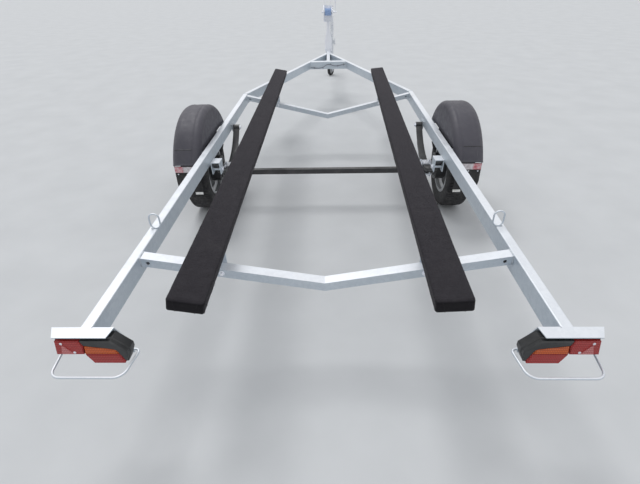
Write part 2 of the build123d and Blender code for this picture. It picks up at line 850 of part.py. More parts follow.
def lamp_housing():
    """Black base of the rear lamp."""
    front = -sheet
    return elevation(lamp_outline(0), -lamp_depth + lens_thickness + front, front)


def lamp_lens():
    """Lens of the rear lamp."""
    back = -lamp_depth - sheet
    return elevation(lamp_outline(lens_margin), back, back + lens_thickness - seat_gap)


def guard_hoop():
    """Bent rod that stands out behind the lamp."""
    z = rail_top - hoop_below_rail
    start = hoop_rod_radius + seat_gap
    end = -hoop_behind_rail
    foot = hoop_inner_x + hoop_foot
    points = [(foot, start, z), (hoop_inner_x, start, z), (hoop_inner_x + hoop_splay, end, z)]
    points += [(hoop_outer_x - hoop_splay, end, z), (hoop_outer_x, -sheet, z)]
    return bent_rod(points, [hoop_foot_bend, hoop_bend, hoop_bend], hoop_rod_radius)


def tie_ring():
    """Closed oval ring of rod that stands across the rail's inner top edge."""
    half = ring_width / 2 - ring_rod_radius
    low = rail_top + ring_rod_radius
    high = rail_top + ring_height - ring_rod_radius
    x = half_frame - tube_width + ring_from_edge
    points = [(x + half, ring_at, low), (x + half, ring_at, high)]
    points += [(x - half, ring_at, high), (x - half, ring_at, low)]
    return bent_rod(points, half * ring_bend_share, ring_rod_radius, closed=True)


def winch_post():
    """Post with a saddle foot on the drawbar, and two bars up to the bow stop."""
    base = rail_top + seat_gap
    half = post_base_width / 2
    long = post_base_length / 2
    plate = block(-half, half, post_at - long, post_at + long, base, base + post_base_plate)
    for side in (-1, 1):
        inner = side * (drawbar_side + seat_gap)
        outer = inner + side * post_base_plate
        x0, x1 = sorted((inner, outer))
        plate += block(x0, x1, post_at - long, post_at + long, base - post_base_drop, base)
    tube = box_tube(post_width, post_depth, post_wall, post_wall + 1, post_height)
    tube = Pos(0, post_at - post_depth / 2, base + post_base_plate) * Rot(90, 0, 0) * tube
    top = base + post_gusset_height
    narrow = post_gusset_narrow / 2
    shoulder = base + post_gusset_shoulder
    gusset = [(-half, base), (half, base), (half, shoulder), (narrow, top), (-narrow, top), (-half, shoulder)]
    for y in (post_at - post_depth / 2 - post_base_plate, post_at + post_depth / 2):
        plate += elevation(gusset, y, y + post_base_plate)
    return plate + tube


def winch_place():
    """Length and height of the winch drum's axle."""
    back = post_at - post_depth / 2 - drum_axle_back
    return back, rail_top + winch_base_height + drum_axle_up


def winch_frame():
    """Two side plates and a back plate, bolted to the rear of the post."""
    inside = winch_inside / 2
    outside = inside + winch_plate
    y1 = post_at - post_depth / 2 - seat_gap
    y0 = y1 - winch_plate_depth
    z0 = rail_top + winch_base_height
    z1 = z0 + winch_plate_height
    shape = [(y1, z0), (y1, z1), (y1 - winch_top_length, z1), (y0, z1 - winch_front_cut)]
    shape += [(y0, z0 + winch_low_cut_up), (y1 - winch_low_length, z0)]
    solid = profile(shape, -outside, outside)
    solid -= block(-inside, inside, y0 - past, y1 - winch_plate, z0 - past, z1 + past)
    axle_y, axle_up = winch_place()
    solid -= rod_x(shaft_radius + shaft_clearance, -2 * outside, 2 * outside, axle_y, axle_up)
    return solid


def winch_drum():
    """Drum with its flanges, shaft and crank."""
    y, z = winch_place()
    half = winch_inside / 2 - drum_side_gap
    solid = rod_x(drum_radius, -half, half, y, z)
    for side in (-1, 1):
        x0, x1 = sorted((side * half, side * (half - drum_flange)))
        solid += rod_x(drum_flange_radius, x0, x1, y, z)
    end = winch_inside / 2 + winch_plate + crank_offset
    solid += rod_x(shaft_radius, -winch_inside / 2 - shaft_end, end, y, z)
    tall = crank_half_height
    solid += block(end - crank_bar, end, y - tall, y + tall, z - tall, z + crank_length)
    grip_z = z + crank_length - crank_grip_radius
    solid += rod_x(crank_grip_radius, end - crank_bar, end + crank_grip_length, y, grip_z)
    return solid


def winch_strap():
    """Strap wound on the drum."""
    y, z = winch_place()
    half = winch_inside / 2 - drum_side_gap - drum_flange - strap_side_gap
    coil = rod_x(strap_radius, -half, half, y, z)
    return coil - rod_x(drum_radius + seat_gap, -2 * half, 2 * half, y, z)


def bow_fork():
    """Two upright bars with a pin that carry the bow roller above the winch."""
    inside = fork_inside / 2
    outside = inside + bracket_plate
    y1 = post_at + post_depth / 2 + bracket_plate
    y0 = post_at + post_depth / 2 + seat_gap
    z0 = rail_top + post_height - fork_plate_below
    z1 = rail_top + post_height + fork_rise - roller_radius
    cross = block(-outside, outside, y0, y1, z0, z0 + fork_plate_height)
    for side in (-1, 1):
        x0, x1 = sorted((side * inside, side * outside))
        cross += block(x0, x1, y0, y0 + fork_bar, z0, z1)
    pin_z = z1 - fork_bar / 2
    return cross + rod_x(roller_pin_radius, -outside, outside, y0 + fork_bar / 2, pin_z)


def bow_roller():
    """Rubber roller on the fork's pin, waisted for the bow."""
    y = post_at + post_depth / 2 + seat_gap + fork_bar / 2
    z = rail_top + post_height + fork_rise - roller_radius - fork_bar / 2
    half = roller_length / 2
    bore = roller_pin_radius + seat_gap
    waist = roller_radius * roller_waist_share
    flat = half - roller_end_flat
    mid = roller_waist_half
    points = [(-half, bore), (-half, roller_radius), (-flat, roller_radius), (-mid, waist)]
    points += [(mid, waist), (flat, roller_radius), (half, roller_radius), (half, bore)]
    face = make_face(Polyline(*[(x, 0, r) for x, r in points], close=True))
    return Pos(0, y, z) * revolve(face, Axis.X, 360)


def jockey_x():
    """Distance of the jockey wheel's tube from the middle."""
    return drawbar_side + clamp_wall + jockey_tube_radius


def castor_turned(shape):
    """Turns a castor piece about the pivot, so that its wheel trails towards the middle."""
    pivot = Pos(jockey_x(), jockey_at, 0)
    return pivot * Rot(0, 0, -jockey_castor_turn) * Pos(-jockey_x(), -jockey_at, 0) * shape


def jockey_clamp():
    """Clamp collar that holds the jockey tube beside the drawbar."""
    x = jockey_x()
    middle = rail_top - tube_height / 2
    z0 = middle - clamp_height / 2
    z1 = middle + clamp_height / 2
    collar = rod_z(jockey_tube_radius + clamp_wall, z0, z1, x, jockey_at)
    half = clamp_half_length
    collar += block(drawbar_side, x, jockey_at - half, jockey_at + half, z0, z1)
    lug_end = x + jockey_tube_radius + clamp_lug_reach
    half = clamp_lug_half
    inset = clamp_lug_inset
    collar += block(x, lug_end, jockey_at - half, jockey_at + half, z0 + inset, z1 - inset)
    return collar - rod_z(jockey_tube_radius + seat_gap, 0, 2 * z1, x, jockey_at)


def jockey_tube():
    """Outer tube with a closed head."""
    x = jockey_x()
    tube = rod_z(jockey_tube_radius, jockey_tube_bottom, jockey_tube_top, x, jockey_at)
    inside = jockey_tube_radius - jockey_tube_wall
    return tube - rod_z(inside, 0, jockey_tube_top - jockey_head_wall, x, jockey_at)


def jockey_crank():
    """Crank on the head of the outer tube."""
    x = jockey_x()
    z = jockey_tube_top + seat_gap
    top = z + crank_post_height
    half = crank_post_radius
    solid = rod_z(half, z, top, x, jockey_at)
    solid += block(x - half, x + half, jockey_at - jockey_crank_reach, jockey_at + half, top - half, top)
    grip_y = jockey_at - jockey_crank_reach + crank_grip_back
    return solid + rod_z(jockey_grip_radius, top, top + jockey_grip_length, x, grip_y)


def jockey_leg():
    """Inner tube that slides in the outer one, with the castor's pivot below."""
    x = jockey_x()
    leg = rod_z(jockey_leg_radius, jockey_leg_bottom, jockey_leg_top, x, jockey_at)
    inside = jockey_leg_radius - jockey_leg_wall
    leg -= rod_z(inside, jockey_leg_bottom + leg_floor, 2 * jockey_leg_top, x, jockey_at)
    stem_low = fork_top_z() - fork_plate - stem_below
    return leg + rod_z(stem_radius, stem_low, jockey_leg_bottom, x, jockey_at)


def fork_top_z():
    """Height of the top face of the castor fork."""
    return jockey_leg_bottom - castor_gap


def jockey_fork():
    """Castor fork with the wheel's axle pin."""
    x = jockey_x()
    top = fork_top_z()
    inside = jockey_wheel_width / 2 + fork_side_gap
    outside = inside + fork_plate
    axle_y = jockey_at - jockey_trail
    back = axle_y - fork_back
    front = jockey_at + fork_front
    plate = block(x - outside, x + outside, back, front, top - fork_plate, top)
    low = jockey_wheel_radius - fork_lower
    points = [(back, top), (front, top), (axle_y + fork_back, low), (back, low)]
    for side in (-1, 1):
        x0, x1 = sorted((x + side * inside, x + side * outside))
        plate += profile(points, x0, x1)
    end = outside + jockey_axle_end
    plate += rod_x(jockey_axle_radius, x - end, x + end, axle_y, jockey_wheel_radius)
    return castor_turned(plate - rod_z(stem_radius + seat_gap, 0, 2 * top, x, jockey_at))


def jockey_wheel():
    """Solid rubber wheel with a rounded rim."""
    half = jockey_wheel_width / 2
    r = jockey_wheel_radius
    bore = jockey_axle_radius + spindle_clearance
    # Columns: distance from the middle and radius, on one side of the wheel
    side = [(half, bore), (half, jockey_hub_inner), (half - jockey_tread_inset, jockey_hub_outer)]
    side += [(half - jockey_tread_inset, r - jockey_tyre_depth), (half, r - jockey_side_depth)]
    side += [(half - jockey_shoulder, r - jockey_shoulder_depth), (half - jockey_tread_edge, r)]
    points = [(-out, up) for out, up in side] + side[::-1]
    face = make_face(Polyline(*[(x, 0, z) for x, z in points], close=True))
    return castor_turned(Pos(jockey_x(), jockey_at - jockey_trail, r) * revolve(face, Axis.X, 360))


def cable():
    """Cable held by clips on the rear face of the nose beam."""
    y = nose_beam_at - nose_beam_depth / 2 - cable_radius - seat_gap
    reach = inner_arm_x(y + cable_radius) - cable_end_gap
    # Columns: share of the half span, height below the top of the beam
    route = [(-1.0, 58), (-0.80, 66), (-0.55, 69), (-0.30, 63), (-0.10, 30), (0.12, 26)]
    route += [(0.30, 44), (0.55, 46), (0.78, 34), (1.0, 26)]
    points = [(share * reach, y, rail_top - down) for share, down in route]
    radii = []
    for before, here, after in zip(points, points[1:], points[2:]):
        a = Vector(*here) - Vector(*before)
        b = Vector(*after) - Vector(*here)
        turn = radians(a.get_angle(b))
        radii.append(cable_bend_share * min(a.length, b.length) / tan(turn / 2))
    return bent_rod(points, radii, cable_radius)


def both(make):
    """A right hand piece and its mirror image, as two solids of one node."""
    return [mirrored(make, side) for side in SIDES.values()]


nodes = {}
for side_name, side in SIDES.items():
    nodes["side_rail_" + side_name] = [mirrored(side_rail(), side)]
    nodes["front_arm_" + side_name] = [mirrored(front_arm(), side)]
    nodes["tyre_" + side_name] = [mirrored(tyre(), side)]
    nodes["rim_" + side_name] = [mirrored(rim(), side)]
    nodes["hub_" + side_name] = [mirrored(hub(), side)]
    nodes["leaf_spring_" + side_name] = [mirrored(leaf_spring(), side)]
    nodes["mudguard_" + side_name] = [mirrored(mudguard(), side)]
    nodes["mud_flap_" + side_name] = [mirrored(mud_flap(), side)]
    nodes["bunk_" + side_name] = [mirrored(bunk(side), side)]
    nodes["bunk_brackets_" + side_name] = [
        mirrored(bunk_bracket(rear_crossbar_at, rear_crossbar_drop, side), side),
        mirrored(bunk_bracket(front_crossbar_at, front_crossbar_drop, side), side),
    ]
    nodes["lamp_bracket_" + side_name] = [mirrored(lamp_bracket(), side)]
    nodes["lamp_housing_" + side_name] = [mirrored(lamp_housing(), side)]
    nodes["lamp_lens_" + side_name] = [mirrored(lamp_lens(), side)]
nodes["rear_crossbar"] = [crossbar(rear_crossbar_at, rear_crossbar_drop)]
nodes["front_crossbar"] = [crossbar(front_crossbar_at, front_crossbar_drop)]
nodes["nose_beam"] = [nose_beam()]
nodes["drawbar"] = [drawbar()]
nodes["coupler"] = [coupler()]
nodes["coupler_handle"] = [coupler_handle()]
nodes["axle"] = [axle()]
nodes["spring_hangers"] = both(front_hanger()) + both(rear_hanger())
nodes["spring_seats"] = both(spring_seat())
nodes["axle_clamps"] = both(axle_clamp())
nodes["bump_stops"] = both(bump_stop())
nodes["mudguard_bars"] = [mirrored(bar, side) for bar in guard_bars() for side in SIDES.values()]
nodes["guard_hoops"] = both(guard_hoop())
nodes["tie_rings"] = both(tie_ring())
nodes["winch_post"] = [winch_post()]
nodes["winch_frame"] = [winch_frame()]
nodes["winch_drum"] = [winch_drum()]
nodes["winch_strap"] = [winch_strap()]
nodes["bow_fork"] = [bow_fork()]
nodes["bow_roller"] = [bow_roller()]
nodes["jockey_clamp"] = [jockey_clamp()]
nodes["jockey_tube"] = [jockey_tube()]
nodes["jockey_crank"] = [jockey_crank()]
nodes["jockey_leg"] = [jockey_leg()]
nodes["jockey_fork"] = [jockey_fork()]
nodes["jockey_wheel"] = [jockey_wheel()]
nodes["nose_cable"] = [cable()]

os.makedirs("parts", exist_ok=True)
for name, shapes in nodes.items():
    solids = [Pos(0, -middle_y, 0) * solid for shape in shapes for solid in shape.solids()]
    whole = solids[0] if len(solids) == 1 else Compound(children=solids)
    export_step(whole, "parts/" + name + ".step")
print(len(nodes), "nodes, length", nose_front - rear_reach)
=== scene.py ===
import bmesh
import bpy
import random
from math import atan2, cos, pi, radians, sin, sqrt, tan
from mathutils import Matrix, Vector, noise


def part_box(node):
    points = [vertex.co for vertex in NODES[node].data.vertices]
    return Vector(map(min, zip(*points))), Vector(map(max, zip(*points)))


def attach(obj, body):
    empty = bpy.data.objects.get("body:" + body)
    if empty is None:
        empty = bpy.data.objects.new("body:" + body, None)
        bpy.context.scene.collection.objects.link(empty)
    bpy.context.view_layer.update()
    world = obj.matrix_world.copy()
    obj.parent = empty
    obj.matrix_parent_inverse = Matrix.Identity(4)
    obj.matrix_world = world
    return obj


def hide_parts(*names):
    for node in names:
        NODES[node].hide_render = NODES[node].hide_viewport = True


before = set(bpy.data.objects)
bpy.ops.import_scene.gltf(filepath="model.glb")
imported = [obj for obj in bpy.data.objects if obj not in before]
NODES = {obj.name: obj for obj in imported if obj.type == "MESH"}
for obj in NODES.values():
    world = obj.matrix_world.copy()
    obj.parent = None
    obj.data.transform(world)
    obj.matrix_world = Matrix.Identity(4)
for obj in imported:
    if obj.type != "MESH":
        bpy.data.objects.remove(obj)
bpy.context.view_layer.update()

# Metres. Lengths written s are counted from the rails' rear ends, as in the CAD.
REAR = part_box("side_rail_right")[0].y
RAIL_TOP = 0.530
RAIL_BOTTOM = 0.450
RAIL_IN = 0.720
RAIL_OUT = 0.760
RAIL_MID = 0.740
RAIL_HALF = 0.020
RAIL_LENGTH = 2.980
APEX = 5.230
AXLE_S = 1.865
AXLE_Z = 0.280
ARM_TURN = atan2(RAIL_OUT, APEX - RAIL_LENGTH)
SPRING_X = 0.6915
BEAM_BACK = 4.468
BEAM_FRONT = 4.548
POST_S = 5.370
# Crossbars: length from the rear, drop at the middle
CROSSBARS = ((0.405, 0.127), (2.923, 0.172))
CROSSBAR_HALF = 0.024
CROSSBAR_HIGH = 0.038
SIDES = {"left": -1, "right": 1}


def at(x, s, z):
    """Point in the shared frame from a length counted from the rails' rear."""
    return Vector((x, REAR + s, z))


def added(name, data):
    """New object in the scene."""
    made = bpy.data.objects.new(name, data)
    bpy.context.scene.collection.objects.link(made)
    return made


# ---------- materials

class Look:
    """A material's node graph, with the shader's own values set by name."""

    def __init__(self, name, **values):
        self.mat = bpy.data.materials.new(name)
        self.mat.use_nodes = True
        self.tree = self.mat.node_tree
        self.shader = self.tree.nodes["Principled BSDF"]
        self.place = self.node("ShaderNodeTexCoord").outputs["Object"]
        for key, value in values.items():
            self.shader.inputs[key.replace("_", " ")].default_value = value

    def node(self, kind, **values):
        """New node, with its inputs and its own settings given by name."""
        made = self.tree.nodes.new(kind)
        for key, value in values.items():
            if key in made.inputs:
                self.feed(made.inputs[key], value)
            else:
                setattr(made, key, value)
        return made

    def feed(self, socket, value):
        if isinstance(value, bpy.types.NodeSocket):
            self.tree.links.new(value, socket)
        else:
            socket.default_value = value

    def to(self, name, value):
        self.feed(self.shader.inputs[name], value)

    def stretched(self, scale):
        return self.node("ShaderNodeMapping", Vector=self.place, Scale=scale).outputs["Vector"]

    def noise(self, scale, detail, rough=0.5, place=None):
        made = self.node("ShaderNodeTexNoise", Vector=place or self.place, Scale=scale, Detail=detail,
                         Roughness=rough)
        return made.outputs["Fac"]

    def cells(self, scale, output="Color"):
        return self.node("ShaderNodeTexVoronoi", Vector=self.place, Scale=scale).outputs[output]

    def bands(self, scale, direction, distortion=0.0):
        made = self.node("ShaderNodeTexWave", bands_direction=direction, Vector=self.place, Scale=scale,
                         Distortion=distortion)
        return made.outputs["Fac"]

    def ramp(self, value, *stops):
        """Colour or grey by value. Each stop is a place and a colour or a grey."""
        made = self.node("ShaderNodeValToRGB", Fac=value)
        marks = made.color_ramp.elements
        while len(marks) < len(stops):
            marks.new(0.5)
        for mark, (spot, shade) in zip(marks, stops):
            mark.position = spot
            if not isinstance(shade, tuple):
                shade = (shade, shade, shade)
            mark.color = (*shade, 1)
        return made.outputs["Color"]

    def spread(self, scale, detail, low, high, start=0.3, end=0.7, rough=0.5):
        """Ramp over a noise, from one colour or grey to another."""
        return self.ramp(self.noise(scale, detail, rough), (start, low), (end, high))

    def mix(self, share, a, b):
        made = self.node("ShaderNodeMix", data_type="RGBA")
        self.feed(made.inputs[0], share)
        for socket, value in ((made.inputs[6], a), (made.inputs[7], b)):
            self.feed(socket, (*value, 1) if isinstance(value, tuple) else value)
        return made.outputs[2]

    def product(self, a, b):
        made = self.node("ShaderNodeMath", operation="MULTIPLY")
        self.feed(made.inputs[0], a)
        self.feed(made.inputs[1], b)
        return made.outputs[0]

    def facing_up(self, start, end):
        """Grey that runs from 0 on a side to 1 on a face that looks up; the mask of the painted top light and
        side shade.
        """
        normal = self.node("ShaderNodeNewGeometry").outputs["Normal"]
        made = self.node("ShaderNodeSeparateXYZ", Vector=normal)
        return self.ramp(made.outputs["Z"], (start, 0.0), (end, 1.0))

    def bump(self, height, strength, distance, under=None):
        made = self.node("ShaderNodeBump", Height=height, Strength=strength, Distance=distance)
        if under:
            self.feed(made.inputs["Normal"], under)
        self.to("Normal", made.outputs["Normal"])
        return made.outputs["Normal"]


def galvanised(name, shade, share, metallic):
    """Zinc coated steel with painted light. Faces that look up are painted paler, and faces that don't look
    up take a share of the painted side shade.
    """
    look = Look(name, Metallic=metallic)
    spangle = look.ramp(look.cells(85), (0.15, (0.50, 0.57, 0.63)), (0.85, (0.66, 0.72, 0.77)))
    broad = look.spread(2.2, 4, (0.54, 0.59, 0.66), (0.74, 0.77, 0.82), 0.35, 0.70)
    colour = look.mix(0.45, broad, spangle)
    streak = look.noise(9, 5, 0.6, look.stretched((1, 0.12, 2.2)))
    colour = look.mix(look.ramp(streak, (0.56, 0.0), (0.72, 0.35)), colour, (0.80, 0.83, 0.85))
    dirt = look.spread(5, 6, 0.0, 0.45, 0.60, 0.78, 0.65)
    colour = look.mix(dirt, colour, (0.40, 0.39, 0.37))
    # Painted light: faces that look up are mixed towards near white as painted top light, and the other faces
    # take the painted side shade.
    painted_top_light = look.facing_up(0.30, 0.95)
    side = look.mix(share, colour, shade)
    look.to("Base Color", look.mix(painted_top_light, side, look.mix(0.45, colour, (0.91, 0.91, 0.94))))
    look.to("Roughness", look.spread(24, 4, 0.36, 0.54))
    fine = look.bump(look.noise(160, 3), 0.18, 0.0006)
    look.bump(look.cells(85, "Distance"), 0.10, 0.0008, fine)
    return look.mat


def zinc(name="zinc", dark=(0.52, 0.55, 0.60), pale=(0.78, 0.80, 0.83)):
    look = Look(name, Metallic=0.85)
    patch = look.spread(14, 4, dark, pale, 0.30, 0.65)
    rust = look.spread(60, 5, 0.0, 0.55, 0.66, 0.76, 0.7)
    look.to("Base Color", look.mix(rust, patch, (0.36, 0.27, 0.19)))
    look.to("Roughness", look.spread(45, 3, 0.22, 0.42))
    look.bump(look.noise(210, 3), 0.15, 0.0004)
    return look.mat


def weld_metal():
    look = Look("weld_metal", Metallic=0.7)
    look.to("Base Color", look.spread(70, 4, (0.40, 0.44, 0.48), (0.66, 0.69, 0.72)))
    look.to("Roughness", look.spread(90, 3, 0.38, 0.60))
    look.bump(look.noise(380, 2), 0.4, 0.0005)
    return look.mat


def carpet():
    look = Look("carpet", Roughness=0.96, Sheen_Weight=0.16, Sheen_Roughness=0.5,
                Sheen_Tint=(0.60, 0.57, 0.62, 1), Specular_IOR_Level=0.15)
    pile = look.noise(900, 3, 0.7)
    tuft = look.ramp(pile, (0.35, (0.009, 0.0085, 0.010)), (0.70, (0.043, 0.039, 0.046)))
    rows = look.spread(30, 4, 0.0, 0.5, 0.45, 0.75, 0.6)
    colour = look.mix(rows, tuft, (0.039, 0.036, 0.041))
    dust = look.spread(6.5, 7, 0.0, 0.40, 0.58, 0.82, 0.72)
    colour = look.mix(dust, colour, (0.080, 0.074, 0.074))
    # Painted shade: faces that don't look up are darkened most of the way to near black, while faces that
    # look up keep the carpet's colour.
    painted_top_light = look.facing_up(0.30, 0.85)
    side = look.mix(0.85, colour, (0.005, 0.0048, 0.006))
    look.to("Base Color", look.mix(painted_top_light, side, colour))
    fine = look.bump(pile, 0.75, 0.0016)
    look.bump(look.noise(110, 4, 0.6), 0.45, 0.0030, fine)
    return look.mat


def guard_plastic():
    look = Look("guard_plastic", Specular_IOR_Level=0.35)
    base = look.spread(3.5, 5, (0.060, 0.058, 0.072), (0.080, 0.077, 0.094), 0.30, 0.72)
    dust = look.spread(18, 6, 0.0, 0.35, 0.50, 0.80, 0.7)
    # Dust and painted top light: pale noise patches go only on faces that look up, so the crown is painted
    # lighter than the sides.
    painted_top_light = look.facing_up(0.15, 0.95)
    colour = look.mix(look.product(dust, painted_top_light), base, (0.156, 0.150, 0.162))
    scratch = look.noise(120, 2, 0.5, look.stretched((1, 0.06, 0.06)))
    colour = look.mix(look.ramp(scratch, (0.70, 0.0), (0.74, 0.25)), colour, (0.20, 0.19, 0.20))
    look.to("Base Color", colour)
    look.to("Roughness", look.spread(30, 4, 0.46, 0.64))
    look.bump(look.cells(620, "Distance"), 0.30, 0.0005)
    return look.mat


def rubber(name="rubber", pale=(0.050, 0.049, 0.050), dark=(0.018, 0.018, 0.019), dusty=0.4):
    look = Look(name, Specular_IOR_Level=0.3)
    base = look.spread(12, 5, dark, pale)
    dust = look.spread(34, 6, 0.0, dusty, 0.50, 0.78, 0.7)
    look.to("Base Color", look.mix(dust, base, (0.150, 0.142, 0.130)))
    look.to("Roughness", look.spread(60, 3, 0.66, 0.88))
    look.bump(look.noise(320, 3), 0.25, 0.0006)
    return look.mat


def black_paint():
    look = Look("black_paint", Coat_Weight=0.25, Coat_Roughness=0.3)
    base = look.spread(8, 4, (0.014, 0.014, 0.016), (0.034, 0.034, 0.037))
    chip = look.spread(75, 6, 0.0, 1.0, 0.68, 0.71, 0.75)
    dust = look.spread(15, 6, 0.0, 0.40, 0.45, 0.80, 0.7)
    colour = look.mix(dust, base, (0.120, 0.115, 0.108))
    look.to("Base Color", look.mix(chip, colour, (0.20, 0.095, 0.045)))
    look.to("Roughness", look.spread(28, 4, 0.36, 0.60))
    look.bump(look.noise(190, 4), 0.25, 0.0006)
    return look.mat


def rim_paint():
    look = Look("rim_paint", Metallic=0.55, Coat_Weight=0.4, Coat_Roughness=0.15)
    look.to("Base Color", look.spread(9, 5, (0.30, 0.31, 0.32), (0.40, 0.41, 0.42)))
    look.to("Roughness", look.spread(500, 2, 0.30, 0.45))
    look.bump(look.noise(900, 2), 0.08, 0.0003)
    return look.mat


def lens(name, deep, bright):
    look = Look(name, Roughness=0.24, Coat_Weight=0.25, Coat_Roughness=0.08, Specular_IOR_Level=0.3)
    prism = look.bands(62, "X")
    rows = look.bands(40, "Z")
    look.to("Base Color", look.ramp(look.product(prism, rows), (0.05, deep), (0.75, bright)))
    first = look.bump(prism, 0.35, 0.0014)
    look.bump(rows, 0.20, 0.0012, first)
    return look.mat


def webbing():
    look = Look("webbing", Roughness=0.85, Sheen_Weight=0.3)
    weave = look.bands(260, "DIAGONAL", 1.5)
    look.to("Base Color", look.ramp(weave, (0.2, (0.16, 0.27, 0.52)), (0.8, (0.38, 0.50, 0.74))))
    look.bump(weave, 0.5, 0.0006)
    return look.mat


def paper(name, pale, soiled):
    look = Look(name, Roughness=0.6)
    look.to("Base Color", look.spread(55, 5, soiled, pale, 0.35, 0.62, 0.65))
    look.bump(look.noise(90, 3), 0.2, 0.0006)
    return look.mat


def plastic(name, dark, pale, rough):
    look = Look(name)
    look.to("Base Color", look.spread(26, 5, dark, pale))
    look.to("Roughness", look.spread(70, 3, rough - 0.08, rough + 0.1))
    look.bump(look.noise(420, 2), 0.15, 0.0004)
    return look.mat


# Painted light: the sides of this look take a blue grey painted shade.
GALV = galvanised("galvanised", (0.40, 0.47, 0.53), 0.30, 0.45)
# Paler lit copy of the galvanised look for the winch post and bow fork: painted light, with its sides painted
# near white.
POST_PAINTED_LIGHT = galvanised("galvanised_post_painted_light", (0.93, 0.93, 0.97), 0.75, 0.10)
ZINC = zinc()
BRIGHT = zinc("bright_zinc", (0.66, 0.69, 0.76), (0.88, 0.90, 0.95))
WELD = weld_metal()
CARPET = carpet()
GUARD = guard_plastic()
RUBBER = rubber()
TYRE = rubber("tyre_rubber", (0.046, 0.045, 0.047), (0.022, 0.022, 0.023), 0.5)
WHEEL_RUBBER = rubber("wheel_rubber", (0.040, 0.040, 0.042), (0.020, 0.020, 0.021), 0.3)
BLACK = black_paint()
RIM = rim_paint()
RED = lens("lens_red", (0.28, 0.010, 0.010), (0.48, 0.048, 0.042))
AMBER = lens("lens_amber", (0.42, 0.060, 0.004), (0.70, 0.135, 0.010))
REFLECTOR = lens("lens_reflector", (0.42, 0.10, 0.10), (0.66, 0.26, 0.25))
WEB = webbing()
PAPER = paper("paper_label", (0.82, 0.82, 0.80), (0.55, 0.54, 0.51))
TAPE_WHITE = paper("tape_white", (0.66, 0.63, 0.65), (0.44, 0.38, 0.40))
TAPE_RED = paper("tape_red", (0.66, 0.50, 0.52), (0.50, 0.10, 0.13))
HOUSING = plastic("lamp_black", (0.016, 0.017, 0.018), (0.034, 0.035, 0.037), 0.42)
GRIP = plastic("grip_black", (0.012, 0.012, 0.013), (0.028, 0.028, 0.030), 0.5)
CORD = rubber("cord_rubber", (0.250, 0.255, 0.300), (0.160, 0.165, 0.200), 0.3)
ROLLER = rubber("bow_rubber", (0.034, 0.034, 0.036), (0.014, 0.014, 0.015), 0.25)

# Columns: material, start of each CAD node's name
DRESS = [
    (GALV, ("side_rail", "front_arm", "rear_crossbar", "front_crossbar", "nose_beam", "drawbar",
            "bunk_brackets", "lamp_bracket", "guard_hoops", "tie_rings", "mudguard_bars",
            "spring_hangers")),
    (POST_PAINTED_LIGHT, ("winch_post", "bow_fork")),
    (ZINC, ("coupler", "jockey_clamp", "jockey_tube", "jockey_crank", "jockey_leg", "jockey_fork")),
    (BRIGHT, ("winch_frame", "winch_drum", "axle_clamps")),
    (BLACK, ("axle", "leaf_spring", "spring_seats", "hub")),
    (RUBBER, ("bump_stops", "mud_flap")),
    (CORD, ("nose_cable",)),
    (ROLLER, ("bow_roller",)),
    (WHEEL_RUBBER, ("jockey_wheel",)),
    (RIM, ("rim",)),
    (TYRE, ("tyre",)),
    (GUARD, ("mudguard_left", "mudguard_right")),
    (CARPET, ("bunk_left", "bunk_right")),
    (HOUSING, ("lamp_housing",)),
    (RED, ("lamp_lens",)),
    (WEB, ("winch_strap",)),
]
for name, node in NODES.items():
    fits = [(len(key), look) for look, keys in DRESS for key in keys if name.startswith(key)]
    look = max(fits, key=lambda pair: pair[0])[1]
    node.data.materials.clear()
    node.data.materials.append(look)


# ---------- shapes

